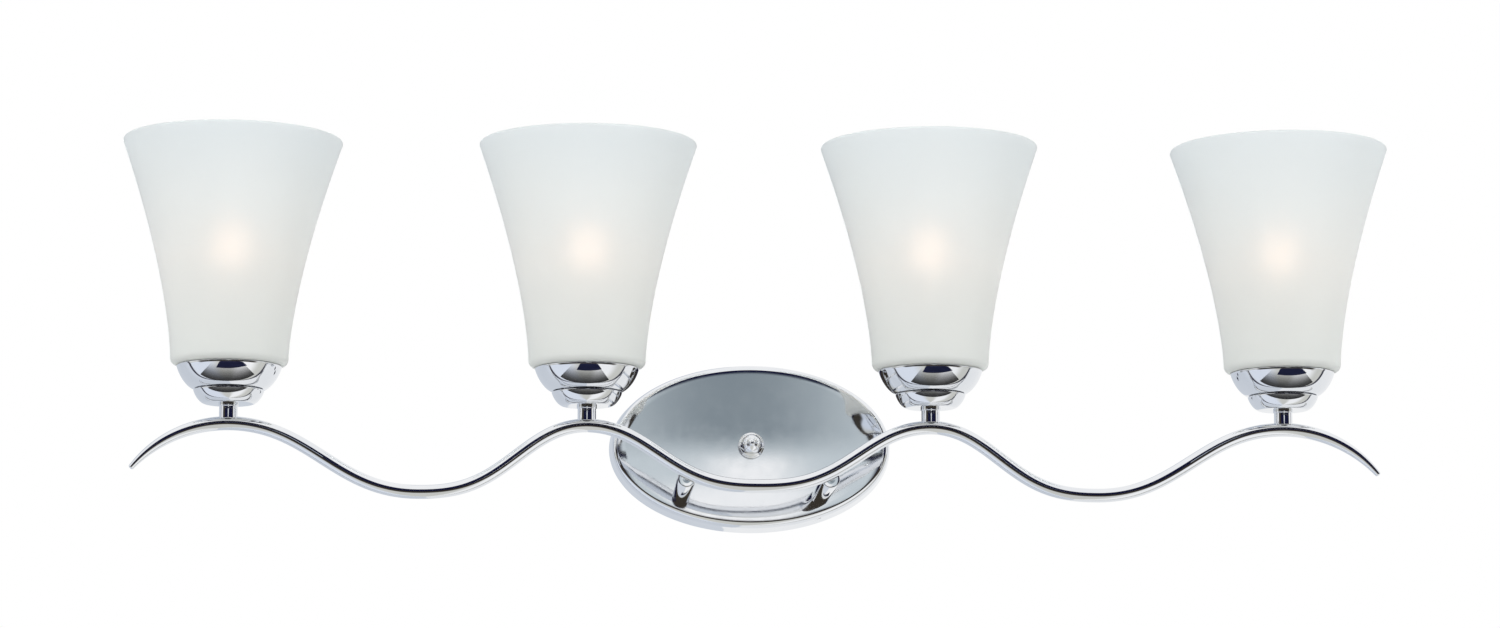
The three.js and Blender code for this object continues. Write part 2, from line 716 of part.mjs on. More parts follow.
function centerStud() {
  return rodAlongY(STUD_DIA, FACE_Y - STUD_PROUD, 0, 0, 0, ROUND_MEDIUM);
}

function locknut() {
  const toY = -CROSSBAR_THICKNESS - SEAT_GAP;
  return nutAlongY(LOCKNUT_FLATS, STUD_DIA + 2 * HOLE_GAP, toY - LOCKNUT_HEIGHT, toY, 0, 0);
}

function finialWasher() {
  const hole = STUD_DIA + 2 * TURN_GAP;
  return tube(FINIAL_WASHER_DIA, hole, 0, FINIAL_WASHER_HEIGHT, ROUND_MEDIUM);
}

// The knob is a cap nut: a flange, a ball and a nub, with a blind hole for the stud.
function finialKnob() {
  const bore = STUD_DIA / 2 + TURN_GAP;
  const back = FINIAL_WASHER_HEIGHT + SEAT_GAP;
  const flangeTop = back + FINIAL_FLANGE;
  const flange = FINIAL_FLANGE_DIA / 2;
  const ball = FINIAL_BALL_DIA / 2;
  const ballZ = back + FINIAL_BALL_LIFT;
  const nub = FINIAL_NUB_DIA / 2;
  const fromAngle = toRadians(FINIAL_NECK_ANGLE);
  const toAngle = Math.acos(nub / ball);
  const points = [
    [bore, back],
    [flange, back],
    [flange, flangeTop],
    [flange - FINIAL_CHAMFER, flangeTop + FINIAL_CHAMFER],
  ];
  for (let k = 1; k <= BALL_STEPS; k += 1) {
    const angle = fromAngle + ((toAngle - fromAngle) * k) / BALL_STEPS;
    points.push([ball * Math.cos(angle), ballZ + ball * Math.sin(angle)]);
  }
  const nubTop = ballZ + ball + FINIAL_NUB;
  const boreEnd = SEAT_GAP + STUD_PROUD + TURN_GAP;
  points.push([nub, nubTop - FINIAL_NUB / 2], [nub / 2, nubTop], [0, nubTop]);
  points.push([0, boreEnd], [bore, boreEnd]);
  return turned(points, ROUND_MEDIUM);
}

// The leads fill the bar, rise into each socket and run back through both posts, as one bundle.
function wiringHarness() {
  const radius = LEAD_DIA / 2;
  const along = barRings(toRadians(BORE_ARC_ANGLE / 2), () => radius);
  const bendY = POST_FRONT + POST_NOSE + POST_BORE / 2;
  let bundle = sweptInPlane(along, -BAR_REACH, ROUND_LEAD);
  LIGHT_X.forEach((x) => {
    const riser = rod(LEAD_DIA, waveHeight(x), NIPPLE_TOP, ROUND_LEAD);
    bundle = bundle.add(riser.translate([x, -BAR_REACH, 0]));
  });
  [-1, 1].forEach((side) => {
    const [fromY, x] = [bendY - radius, side * POST_X];
    bundle = bundle
      .add(leadWay(side, LEAD_DIA))
      .add(rodAlongY(LEAD_DIA, fromY, -LEAD_END_DEPTH, x, POST_Z, ROUND_LEAD));
  });
  return bundle;
}

// ---- Assembly -----------------------------------------------------------------------------

const light = new THREE.Group();

light.add(
  part("wave_bar", waveBar(), "chrome"),
  part("canopy", canopy(), "chrome"),
  part("post_left", post(-1), "chrome"),
  part("post_right", post(1), "chrome"),
  part("post_nut_left", postNut(-1), "zincSteel"),
  part("post_nut_right", postNut(1), "zincSteel"),
  part("crossbar", crossbar(), "zincSteel"),
  part("center_stud", centerStud(), "zincSteel"),
  part("stud_locknut", locknut(), "zincSteel"),
  part("box_screw_left", crossbarScrew(-BOX_SCREW_SPACING / 2, BOX_SCREW_LENGTH), "zincSteel"),
  part("box_screw_right", crossbarScrew(BOX_SCREW_SPACING / 2, BOX_SCREW_LENGTH), "zincSteel"),
  part("ground_screw", crossbarScrew(GROUND_SCREW_OFFSET, GROUND_SCREW_LENGTH), "greenScrew"),
  part("wiring_harness", wiringHarness(), "leadCover"),
);

const finial = new THREE.Group();
finial.position.set(0, FACE_Y - SEAT_GAP, 0);
finial.rotation.x = Math.PI / 2;
finial.add(
  part("finial_washer", finialWasher(), "chrome"),
  part("finial_knob", finialKnob(), "chrome"),
);
light.add(finial);

LIGHT_X.forEach((x, i) => {
  const number = i + 1;
  const holder = new THREE.Group();
  holder.position.set(x, -BAR_REACH, 0);
  holder.add(
    part(`stem_${number}`, stem(x), "chrome"),
    part(`neck_dome_${number}`, neckDome(), "chrome"),
    part(`shade_cup_${number}`, shadeCup(), "chrome"),
    part(`nipple_${number}`, nipple(), "zincSteel"),
    part(`socket_body_${number}`, socketBody(), "ceramic"),
    part(`socket_shell_${number}`, socketShell(), "brass"),
    part(`shade_ring_${number}`, shadeRing(), "ceramic"),
    part(`shade_glass_${number}`, shadeGlass(), "glass"),
    part(`bulb_base_${number}`, bulbBase(), "aluminium"),
    part(`bulb_contact_${number}`, bulbContact(), "brass"),
    part(`bulb_glass_${number}`, bulbGlass(), "bulbGlass"),
  );
  light.add(holder);
});

export default light;
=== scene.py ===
"""A four-light wavy vanity bar, dressed for a soft studio view.

Lengths are in metres, +Z is up, +X runs along the bar and +Y goes into the wall. The origin is the
middle of the oval canopy, on the wall plane. Every piece sits where its CAD node is.
"""

import logging
import math
from dataclasses import dataclass
from enum import Enum
from typing import Any, Callable, Sequence, Union

import bmesh
import bpy
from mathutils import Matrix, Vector

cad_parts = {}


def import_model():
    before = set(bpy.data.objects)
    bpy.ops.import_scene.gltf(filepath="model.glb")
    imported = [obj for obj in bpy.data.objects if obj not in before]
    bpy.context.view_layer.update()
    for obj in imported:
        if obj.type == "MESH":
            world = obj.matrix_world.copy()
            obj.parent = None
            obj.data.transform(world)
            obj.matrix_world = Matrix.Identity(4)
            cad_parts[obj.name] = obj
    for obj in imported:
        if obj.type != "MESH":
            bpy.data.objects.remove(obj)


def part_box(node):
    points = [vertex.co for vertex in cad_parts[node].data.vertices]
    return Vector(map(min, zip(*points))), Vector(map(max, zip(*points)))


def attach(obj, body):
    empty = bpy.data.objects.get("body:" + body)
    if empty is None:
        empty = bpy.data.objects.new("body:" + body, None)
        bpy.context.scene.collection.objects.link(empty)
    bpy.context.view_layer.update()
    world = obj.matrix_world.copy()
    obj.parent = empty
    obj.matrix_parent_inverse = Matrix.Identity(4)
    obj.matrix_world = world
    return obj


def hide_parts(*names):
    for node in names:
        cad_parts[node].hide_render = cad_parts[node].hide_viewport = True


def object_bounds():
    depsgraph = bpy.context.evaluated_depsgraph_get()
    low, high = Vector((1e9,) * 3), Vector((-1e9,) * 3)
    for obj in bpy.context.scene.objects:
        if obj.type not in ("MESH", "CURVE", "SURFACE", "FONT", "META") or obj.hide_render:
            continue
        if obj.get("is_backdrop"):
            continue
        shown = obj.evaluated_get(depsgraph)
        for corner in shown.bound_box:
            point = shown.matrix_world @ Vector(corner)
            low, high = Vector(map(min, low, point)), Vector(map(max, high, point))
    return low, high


log = logging.getLogger("vanity_bar")

MM = 0.001
TURN = 2.0 * math.pi
SCREW_BASE_PITCH = 3.629 * MM

Number = Union[float, Callable[[float], float]]
ProfilePoint = tuple[Number, Number]
Colour = tuple[float, float, float]


class Facing(Enum):
    """Which way the turning axis of a round piece points."""

    UP = "up"
    ROOM = "room"
    WALL = "wall"


class Side(Enum):
    """The two sides of the fixture, as the sign of X."""

    LEFT = -1
    RIGHT = 1


class NodeWork:
    """A node tree under construction."""

    tree: bpy.types.NodeTree

    def add(self, kind: str, **settings: Any) -> bpy.types.Node:
        """Add a node and set its properties.

        Args:
            kind: The node's type name.
            **settings: Properties of the node.

        Returns:
            The new node.
        """
        node = self.tree.nodes.new(kind)
        for key, value in settings.items():
            setattr(node, key, value)
        return node

    def join(self, source: Any, target: Any) -> None:
        """Link an output to an input."""
        self.tree.links.new(source, target)


# ---- Materials ----------------------------------------------------------------------------


class NodeBench(NodeWork):
    """A material's nodes while they are being wired."""

    busy_range: tuple[float, float] = (0.3, 0.7)  # where most of a noise factor lies

    def __init__(self, name: str) -> None:
        """Start a material with one Principled shader.

        Args:
            name: The material's name.
        """
        self.material = bpy.data.materials.new(name)
        self.material.use_nodes = True
        self.tree = self.material.node_tree
        self.tree.nodes.clear()
        self.shader = self.add("ShaderNodeBsdfPrincipled")
        output = self.add("ShaderNodeOutputMaterial")
        self.join(self.shader.outputs["BSDF"], output.inputs["Surface"])
        self.place = self.add("ShaderNodeTexCoord").outputs["Object"]

    def mapped(self, scale: tuple[float, float, float]) -> Any:
        """Object coordinates with a scale along each axis.

        Args:
            scale: The factor along X, Y and Z.

        Returns:
            The scaled vector.
        """
        node = self.add("ShaderNodeMapping")
        node.inputs["Scale"].default_value = scale
        self.join(self.place, node.inputs["Vector"])
        return node.outputs["Vector"]

    def noise(self, scale: float, detail: float = 3.0, vector: Any = None) -> Any:
        """A noise pattern on the piece.

        Args:
            scale: Patches per metre.
            detail: Octaves of finer noise.
            vector: Coordinates to read, or None for the object's own.

        Returns:
            The noise factor, 0 to 1.
        """
        node = self.add("ShaderNodeTexNoise")
        node.inputs["Scale"].default_value = scale
        node.inputs["Detail"].default_value = detail
        self.join(vector if vector is not None else self.place, node.inputs["Vector"])
        return node.outputs["Fac"]

    def ramp(self, source: Any, low: float, high: float) -> Any:
        """Spread a 0 to 1 factor between two values.

        Args:
            source: The factor.
            low: The value where the factor is low.
            high: The value where the factor is high.

        Returns:
            The new value.
        """
        node = self.add("ShaderNodeMapRange")
        node.inputs["From Min"].default_value = self.busy_range[0]
        node.inputs["From Max"].default_value = self.busy_range[1]
        node.inputs["To Min"].default_value = low
        node.inputs["To Max"].default_value = high
        self.join(source, node.inputs["Value"])
        return node.outputs["Result"]

    def blend(self, source: Any, first: Colour, second: Colour) -> Any:
        """Mix two colours by a factor.

        Args:
            source: The factor.
            first: The colour where the factor is low.
            second: The colour where the factor is high.

        Returns:
            The mixed colour.
        """
        node = self.add("ShaderNodeValToRGB")
        stops = node.color_ramp.elements
        stops[0].position, stops[1].position = self.busy_range
        stops[0].color = (*first, 1.0)
        stops[1].color = (*second, 1.0)
        self.join(source, node.inputs["Fac"])
        return node.outputs["Color"]

    def bump(self, source: Any, height: float, strength: float = 1.0) -> None:
        """Give the surface relief from a factor.

        Args:
            source: The height factor.
            height: Depth of the relief, in metres.
            strength: How much of it shows.
        """
        node = self.add("ShaderNodeBump")
        node.inputs["Distance"].default_value = height
        node.inputs["Strength"].default_value = strength
        self.join(source, node.inputs["Height"])
        self.join(node.outputs["Normal"], self.shader.inputs["Normal"])

    def set(self, **values: Any) -> None:
        """Set plain values on the shader's sockets. Underscores stand for spaces."""
        for key, value in values.items():
            self.shader.inputs[key.replace("_", " ")].default_value = value


@dataclass(frozen=True)
class PolishedMetal:
    """A plated or bare metal, with faint wipe marks and a very fine polishing grain."""

    name: str
    slot: str
    colour: Colour
    worn: Colour
    smooth: float
    rough: float
    grain: float = 900.0
    grain_height: float = 0.0000012
    stretch: tuple[float, float, float] = (1.0, 1.0, 1.0)

    def material(self) -> bpy.types.Material:
        """Build the metal.

        Returns:
            The finished material.
        """
        bench = NodeBench(self.name)
        cloud = bench.noise(38.0, 4.0)
        bench.join(bench.blend(cloud, self.colour, self.worn), bench.shader.inputs["Base Color"])
        wipe = bench.noise(120.0, 5.0, bench.mapped(self.stretch))
        bench.join(
            bench.ramp(wipe, self.smooth, self.rough), bench.shader.inputs["Roughness"]
        )
        bench.bump(bench.noise(self.grain, 2.0, bench.mapped(self.stretch)), self.grain_height)
        bench.set(Metallic=1.0)
        return bench.material


@dataclass(frozen=True)
class SpangledZinc:
    """Bright zinc plate, with the soft crystal patches that plating leaves."""

    name: str
    slot: str
    pale: Colour
    dark: Colour

    def material(self) -> bpy.types.Material:
        """Build the zinc.

        Returns:
            The finished material.
        """
        bench = NodeBench(self.name)
        cells = bench.add("ShaderNodeTexVoronoi", feature="F1")
        cells.inputs["Scale"].default_value = 420.0
        bench.join(bench.place, cells.inputs["Vector"])
        shade = bench.blend(cells.outputs["Color"], self.dark, self.pale)
        bench.join(shade, bench.shader.inputs["Base Color"])
        bench.join(bench.ramp(bench.noise(260.0), 0.24, 0.42), bench.shader.inputs["Roughness"])
        bench.bump(bench.noise(1500.0), 0.000004)
        bench.set(Metallic=1.0)
        return bench.material


@dataclass(frozen=True)
class EtchedGlass:
    """White satin-etched glass that lets a blurred glow through. Its colour is painted by height: a
    lighter band at the bulb's height is a painted glow, and the dimmer top is painted shade; the
    foot is darker and greener.
    """

    name: str
    slot: str
    # dim_top_colour is painted shade at the top, and lit_band_colour is a painted glow at the
    # bulb's height.
    dim_top_colour: Colour
    lit_band_colour: Colour
    low_tint: Colour
    clear: float
    rough: float
    foot: float
    head: float
    drift: float = 0.12
    etch_spread: float = 0.04

    def material(self) -> bpy.types.Material:
        """Build the glass.

        Returns:
            The finished material.
        """
        bench = NodeBench(self.name)
        split = bench.add("ShaderNodeSeparateXYZ")
        bench.join(bench.place, split.inputs["Vector"])
        rise = bench.add("ShaderNodeMapRange")
        rise.inputs["From Min"].default_value = self.foot
        rise.inputs["From Max"].default_value = self.head
        bench.join(split.outputs["Z"], rise.inputs["Value"])
        drift = bench.add("ShaderNodeMath", operation="MULTIPLY_ADD")
        drift.inputs[1].default_value = self.drift
        bench.join(bench.noise(22.0, 3.0), drift.inputs[0])
        bench.join(rise.outputs["Result"], drift.inputs[2])
        # Painted light: the colour is lightest in a band at the bulb's height (a painted glow) and
        # dimmer at the top (painted shade).
        tint = bench.add("ShaderNodeValToRGB")
        stops = tint.color_ramp.elements
        stops.new(0.45)
        for stop, place, colour in zip(
            stops, (0.0, 0.5, 1.08), (self.low_tint, self.lit_band_colour, self.dim_top_colour)
        ):
            stop.position = min(1.0, place)
            stop.color = (*colour, 1.0)
        bench.join(drift.outputs["Value"], tint.inputs["Fac"])
        bench.join(tint.outputs["Color"], bench.shader.inputs["Base Color"])
        etch = bench.noise(2600.0, 2.0)
        bench.join(
            bench.ramp(etch, self.rough - self.etch_spread, self.rough + self.etch_spread),
            bench.shader.inputs["Roughness"],
        )
        bench.bump(etch, 0.000008, 0.6)
        bench.set(Transmission_Weight=self.clear, IOR=1.5)
        return bench.material


@dataclass(frozen=True)
class Glow:
    """A lit surface with a faint mottle."""

    name: str
    slot: str
    colour: Colour
    strength: float

    def material(self) -> bpy.types.Material:
        """Build the light.

        Returns:
            The finished material.
        """
        bench = NodeBench(self.name)
        patch = bench.noise(180.0, 1.0)
        bench.join(
            bench.blend(patch, self.colour, tuple(min(1.0, c * 1.05) for c in self.colour)),
            bench.shader.inputs["Base Color"],
        )
        bench.set(
            Emission_Color=(*self.colour, 1.0), Emission_Strength=self.strength, Roughness=0.5
        )
        return bench.material


@dataclass(frozen=True)
class GlazedCeramic:
    """Glazed porcelain with faint specks under a clear coat."""

    name: str
    slot: str
    body: Colour
    speck: Colour

    def material(self) -> bpy.types.Material:
        """Build the ceramic.

        Returns:
            The finished material.
        """
        bench = NodeBench(self.name)
        bench.join(
            bench.blend(bench.noise(950.0, 1.0), self.body, self.speck),
            bench.shader.inputs["Base Color"],
        )
        bench.join(bench.ramp(bench.noise(90.0), 0.22, 0.34), bench.shader.inputs["Roughness"])
        bench.bump(bench.noise(240.0), 0.00003, 0.5)
        bench.set(Coat_Weight=0.6, Coat_Roughness=0.08)
        return bench.material


@dataclass(frozen=True)
class MouldedPlastic:
    """Insulation or moulded plastic with a slightly uneven sheen."""

    name: str
    slot: str
    colour: Colour
    scuffed: Colour

    def material(self) -> bpy.types.Material:
        """Build the plastic.

        Returns:
            The finished material.
        """
        bench = NodeBench(self.name)
        bench.join(
            bench.blend(bench.noise(300.0), self.colour, self.scuffed),
            bench.shader.inputs["Base Color"],
        )
        bench.join(bench.ramp(bench.noise(700.0), 0.35, 0.55), bench.shader.inputs["Roughness"])
        bench.bump(bench.noise(1200.0), 0.00001)
        return bench.material


@dataclass(frozen=True)
class StudioFloor:
    """Plain pale paper, with a hardly visible mottle."""

    name: str
    colour: Colour

    def material(self) -> bpy.types.Material:
        """Build the paper.

        Returns:
            The finished material.
        """
        bench = NodeBench(self.name)
        dim = tuple(c * 0.97 for c in self.colour)
        bench.join(
            bench.blend(bench.noise(3.0), self.colour, dim), bench.shader.inputs["Base Color"]
        )
        bench.set(Roughness=0.8)
        return bench.material


CHROME = PolishedMetal(
    "chrome_plate", "chrome", (0.86, 0.87, 0.89), (0.80, 0.82, 0.85), 0.03, 0.07
)
CAP_ALUMINIUM = PolishedMetal(
    "rolled_aluminium", "aluminium", (0.78, 0.79, 0.80), (0.68, 0.69, 0.71), 0.22, 0.38,
    grain=1400.0, grain_height=0.000004, stretch=(1.0, 1.0, 6.0),
)
SHELL_BRASS = PolishedMetal(
    "stamped_brass", "brass", (0.80, 0.60, 0.28), (0.62, 0.43, 0.19), 0.18, 0.36,
    grain=1400.0, grain_height=0.000004,
)
ZINC = SpangledZinc("zinc_plate", "zinc_steel", (0.74, 0.75, 0.74), (0.58, 0.60, 0.62))
GROUND_GREEN = PolishedMetal(
    "green_zinc", "green_screw", (0.13, 0.42, 0.2), (0.08, 0.3, 0.14), 0.25, 0.45
)
# Each glass's first colour is its painted dimmer top, its second the painted glow band at the
# bulb's height, and its third the darker foot.
FROSTED = EtchedGlass(
    "frosted_glass", "frosted_glass", (0.86, 0.90, 0.91), (0.96, 0.965, 0.945),
    (0.90, 0.93, 0.91), 0.45, 0.5, 0.04, 0.2
)
LAMP_GLASS = EtchedGlass(
    "lamp_glass", "bulb_glass", (0.97, 0.95, 0.92), (0.98, 0.97, 0.94), (0.95, 0.94, 0.92),
    0.9, 0.3, 0.04, 0.15
)
LAMP_GLOW = Glow("lamp_glow", "bulb_glass", (1.0, 0.71, 0.55), 2.7)
CERAMIC = GlazedCeramic("porcelain", "ceramic", (0.90, 0.89, 0.85), (0.86, 0.84, 0.79))
BLACK_COVER = MouldedPlastic(
    "black_insulation", "lead_cover", (0.02, 0.02, 0.022), (0.045, 0.045, 0.05)
)
WHITE_COVER = MouldedPlastic(
    "white_insulation", "lead_cover", (0.82, 0.82, 0.8), (0.72, 0.72, 0.7)
)
BLACK_GLASS = MouldedPlastic(
    "foot_insulator", "lead_cover", (0.012, 0.012, 0.018), (0.03, 0.03, 0.04)
)
PAPER = StudioFloor("studio_paper", (0.86, 0.86, 0.85))


class Wardrobe:
    """The materials made so far, one for each finish."""

    def __init__(self) -> None:
        """Start with no materials."""
        self.made: dict[str, bpy.types.Material] = {}

    def get(self, finish: Any) -> bpy.types.Material:
        """The material of a finish, made on first use.

        Args:
            finish: One of the finishes above.

        Returns:
            Its material.
        """
        if finish.name not in self.made:
            self.made[finish.name] = finish.material()
        return self.made[finish.name]


WARDROBE = Wardrobe()


# ---- Meshes -------------------------------------------------------------------------------


def value_at(number: Number, angle: float) -> float:
    """A profile number, which may depend on the angle round the axis.

    Args:
        number: A plain number, or a function of the angle.
        angle: The angle round the axis.

    Returns:
        The number at that angle.
    """
    return number(angle) if callable(number) else number


def rounded(corners: Sequence[tuple[float, float, float]], steps: int = 5) -> list[ProfilePoint]:
    """Round the corners of a closed outline.

    Args:
        corners: The corners as (radius, height, fillet).
        steps: Segments round each fillet.

    Returns:
        The outline's points as (radius, height).
    """
    points: list[ProfilePoint] = []
    for index, (x, z, fillet) in enumerate(corners):
        here = Vector((x, z))
        before = Vector(corners[index - 1][:2]) - here
        after = Vector(corners[(index + 1) % len(corners)][:2]) - here
        if fillet <= 0.0 or x <= 0.0:
            points.append((x, z))
            continue
        half = before.angle(after) / 2.0
        reach = min(fillet / math.tan(half), before.length * 0.48, after.length * 0.48)
        start = here + before.normalized() * reach
        end = here + after.normalized() * reach
        for step in range(steps + 1):
            t = step / steps
            bend = start * (1 - t) ** 2 + here * (2 * t * (1 - t)) + end * t**2
            points.append((bend.x, bend.y))
    return points


def finished(
    name: str, mesh: bpy.types.Mesh, finish: Any, crease: float = 35.0
) -> bpy.types.Object:
    """Clean a closed mesh, turn its faces out, shade it and link it as an object.

    Args:
        name: The piece's name.
        mesh: Its mesh, in place.
        finish: Its finish.
        crease: Angle in degrees past which an edge stays sharp.

    Returns:
        The new object, at the origin.
    """
    work = bmesh.new()
    work.from_mesh(mesh)
    bmesh.ops.remove_doubles(work, verts=work.verts, dist=1e-7)
    bmesh.ops.recalc_face_normals(work, faces=work.faces)
    work.to_mesh(mesh)
    work.free()
    for polygon in mesh.polygons:
        polygon.use_smooth = True
    mesh.set_sharp_from_angle(angle=math.radians(crease))
    mesh.materials.clear()
    mesh.materials.append(WARDROBE.get(finish))
    piece = bpy.data.objects.new(name, mesh)
    bpy.context.scene.collection.objects.link(piece)
    return piece


def ring_faces(on_axis: Sequence[bool], segments: int) -> list[tuple[int, int, int, int]]:
    """Quads between the neighbouring rings of a closed outline.

    Args:
        on_axis: For each ring, whether it has shrunk to a point on the axis.
        segments: Steps round each ring.

    Returns:
        The faces, without those between two such points.
    """
    faces = []
    for ring, at_point in enumerate(on_axis):
        onward = (ring + 1) % len(on_axis)
        if at_point and on_axis[onward]:
            continue
        near, far = ring * segments, onward * segments
        for step in range(segments):
            following = (step + 1) % segments
            faces.append((near + step, near + following, far + following, far + step))
    return faces


def turned(
    name: str,
    profile: Sequence[ProfilePoint],
    finish: Any,
    centre: Vector,
    facing: Facing = Facing.UP,
    segments: int = 64,
    crease: float = 35.0,
) -> bpy.types.Object:
    """Turn a closed outline round an axis.

    Args:
        name: The piece's name.
        profile: Points as (radius, height). Either may be a function of the angle.
        finish: The piece's finish.
        centre: Where the axis passes through height 0.
        facing: Which way heights run.
        segments: Steps round the axis.
        crease: Angle in degrees past which an edge stays sharp.

    Returns:
        The piece.
    """
    vertices = []
    for radius, height in profile:
        for step in range(segments):
            angle = TURN * step / segments
            r, h = value_at(radius, angle), value_at(height, angle)
            across, up = r * math.cos(angle), r * math.sin(angle)
            if facing is Facing.UP:
                offset = Vector((across, up, h))
            else:
                offset = Vector((across, -h if facing is Facing.ROOM else h, up))
            vertices.append(centre + offset)
    on_axis = [not callable(radius) and radius <= 0.0 for radius, _ in profile]
    faces = ring_faces(on_axis, segments)
    mesh = bpy.data.meshes.new(name)
    mesh.from_pydata(vertices, [], faces)
    mesh.update()
    return finished(name, mesh, finish, crease)


def put_in_order(mesh: bpy.types.Mesh) -> None:
    """Number a mesh's points and faces by their place, so that every run gives the same mesh.

    Args:
        mesh: The mesh, with its faces already turned out.
    """
    spots = [tuple(round(part, 7) for part in vertex.co) for vertex in mesh.vertices]
    order = sorted(range(len(spots)), key=lambda index: spots[index])
    number = {old: new for new, old in enumerate(order)}
    points = [mesh.vertices[index].co.copy() for index in order]
    faces = []
    for polygon in mesh.polygons:
        ring = [number[index] for index in polygon.vertices]
        first = ring.index(min(ring))
        faces.append(ring[first:] + ring[:first])
    mesh.clear_geometry()
    mesh.from_pydata(points, [], sorted(faces))
    mesh.update()


def hexagon(flats: float) -> Callable[[float], float]:
    """The radius of a hexagon at any angle.

    Args:
        flats: Distance across the flats.

    Returns:
        A function of the angle.
    """
    sector = TURN / 6.0
    return lambda angle: flats / 2.0 / math.cos((angle % sector) - sector / 2.0)


def threaded(radius: float, depth: float, pitch: float, height: float) -> Callable[[float], float]:
    """The radius of a rolled right-hand thread at any angle, at one height.

    Args:
        radius: Mean radius.
        depth: Half the depth of the thread.
        pitch: Rise per turn.
        height: The height of this ring.

    Returns:
        A function of the angle.
    """
    return lambda angle: radius + depth * math.cos(TURN * height / pitch - angle)


# ---- Geometry Nodes -----------------------------------------------------------------------


class Grower(NodeWork):
    """A Geometry Nodes tree under construction, with named inputs."""

    def __init__(self, name: str) -> None:
        """Start a tree that takes and gives geometry.

        Args:
            name: The tree's name.
        """
        self.tree = bpy.data.node_groups.new(name, "GeometryNodeTree")
        self.sockets: dict[str, str] = {}
        self.start = self.add("NodeGroupInput")
        self.end = self.add("NodeGroupOutput")
        self.tree.interface.new_socket("Geometry", in_out="INPUT", socket_type="NodeSocketGeometry")
        self.tree.interface.new_socket(
            "Geometry", in_out="OUTPUT", socket_type="NodeSocketGeometry"
        )

    def size(self, label: str, kind: str, default: Any) -> Any:
        """Add a named input.

        Args:
            label: The input's name.
            kind: Its socket type.
            default: Its value until it is set.

        Returns:
            The socket to link from.
        """
        item = self.tree.interface.new_socket(label, in_out="INPUT", socket_type=kind)
        if default is not None:
            item.default_value = default
        self.sockets[label] = item.identifier
        return self.start.outputs[label]

    def close(self, geometry: Any) -> None:
        """End the tree in smooth shading, Realize Instances and Set Material.

        Args:
            geometry: The finished geometry.
        """
        finish = self.size("Finish", "NodeSocketMaterial", None)
        smooth = self.add("GeometryNodeSetShadeSmooth")
        realize = self.add("GeometryNodeRealizeInstances")
        dress = self.add("GeometryNodeSetMaterial")
        self.join(geometry, smooth.inputs["Geometry"])
        self.join(smooth.outputs["Geometry"], realize.inputs["Geometry"])
        self.join(realize.outputs["Geometry"], dress.inputs["Geometry"])
        self.join(finish, dress.inputs["Material"])
        self.join(dress.outputs["Geometry"], self.end.inputs["Geometry"])

    def grow(
        self, name: str, seed: bpy.types.Mesh, finish: Any, sizes: dict[str, Any]
    ) -> bpy.types.Object:
        """Run the tree on a seed mesh and keep the result as a plain piece.

        Args:
            name: The piece's name.
            seed: The mesh that the tree starts from.
            finish: The piece's finish.
            sizes: Values for the named inputs.

        Returns:
            The piece.
        """
        carrier = bpy.data.objects.new(f"{name}.seed", seed)
        bpy.context.scene.collection.objects.link(carrier)
        modifier = carrier.modifiers.new("grow", "NODES")
        modifier.node_group = self.tree
        for label, value in sizes.items():
            modifier[self.sockets[label]] = value
        modifier[self.sockets["Finish"]] = WARDROBE.get(finish)
        bpy.context.view_layer.update()
        graph = bpy.context.evaluated_depsgraph_get()
        mesh = bpy.data.meshes.new_from_object(carrier.evaluated_get(graph))
        carrier.modifiers.remove(modifier)
        bpy.data.objects.remove(carrier)
        return finished(name, mesh, finish)


def swept_tube_tree() -> Grower:
    """A round bar swept along the seed's edges, as thick as its thickness attribute.

    Returns:
        The tree.
    """
    grower = Grower("swept_tube")
    sides = grower.size("Sides", "NodeSocketInt", 24)
    line = grower.add("GeometryNodeMeshToCurve")
    thickness = grower.add("GeometryNodeInputNamedAttribute", data_type="FLOAT")
    thickness.inputs["Name"].default_value = "thickness"
    radius = grower.add("GeometryNodeSetCurveRadius")
    circle = grower.add("GeometryNodeCurvePrimitiveCircle")
    circle.inputs["Radius"].default_value = 1.0
    sweep = grower.add("GeometryNodeCurveToMesh")
    sweep.inputs["Fill Caps"].default_value = True
    grower.join(grower.start.outputs["Geometry"], line.inputs["Mesh"])
    grower.join(line.outputs["Curve"], radius.inputs["Curve"])
    grower.join(thickness.outputs["Attribute"], radius.inputs["Radius"])
    grower.join(sides, circle.inputs["Resolution"])
    grower.join(radius.outputs["Curve"], sweep.inputs["Curve"])
    grower.join(circle.outputs["Curve"], sweep.inputs["Profile Curve"])
    if "Scale" in sweep.inputs:
        grower.join(thickness.outputs["Attribute"], sweep.inputs["Scale"])
    grower.close(sweep.outputs["Mesh"])
    return grower


def thread_tree() -> Grower:
    """A thread ridge: a small round rib wound in a helix.

    Returns:
        The tree.
    """
    grower = Grower("thread_ridge")
    radius = grower.size("Radius", "NodeSocketFloat", 0.005)
    turns = grower.size("Turns", "NodeSocketFloat", 5.0)
    length = grower.size("Length", "NodeSocketFloat", 0.01)
    rib = grower.size("Rib", "NodeSocketFloat", 0.0003)
    middle = grower.size("Middle", "NodeSocketVector", (0.0, 0.0, 0.0))
    lean = grower.size("Lean", "NodeSocketVector", (0.0, 0.0, 0.0))
    helix = grower.add("GeometryNodeCurveSpiral")
    helix.inputs["Resolution"].default_value = 36
    circle = grower.add("GeometryNodeCurvePrimitiveCircle")
    circle.inputs["Resolution"].default_value = 6
    sweep = grower.add("GeometryNodeCurveToMesh")
    sweep.inputs["Fill Caps"].default_value = True
    place = grower.add("GeometryNodeTransform")
    grower.join(radius, helix.inputs["Start Radius"])
    grower.join(radius, helix.inputs["End Radius"])
    grower.join(turns, helix.inputs["Rotations"])
    grower.join(length, helix.inputs["Height"])
    grower.join(rib, circle.inputs["Radius"])
    grower.join(helix.outputs["Curve"], sweep.inputs["Curve"])
    grower.join(circle.outputs["Curve"], sweep.inputs["Profile Curve"])
    grower.join(sweep.outputs["Mesh"], place.inputs["Geometry"])
    grower.join(middle, place.inputs["Translation"])
    grower.join(lean, place.inputs["Rotation"])
    grower.close(place.outputs["Geometry"])
    return grower


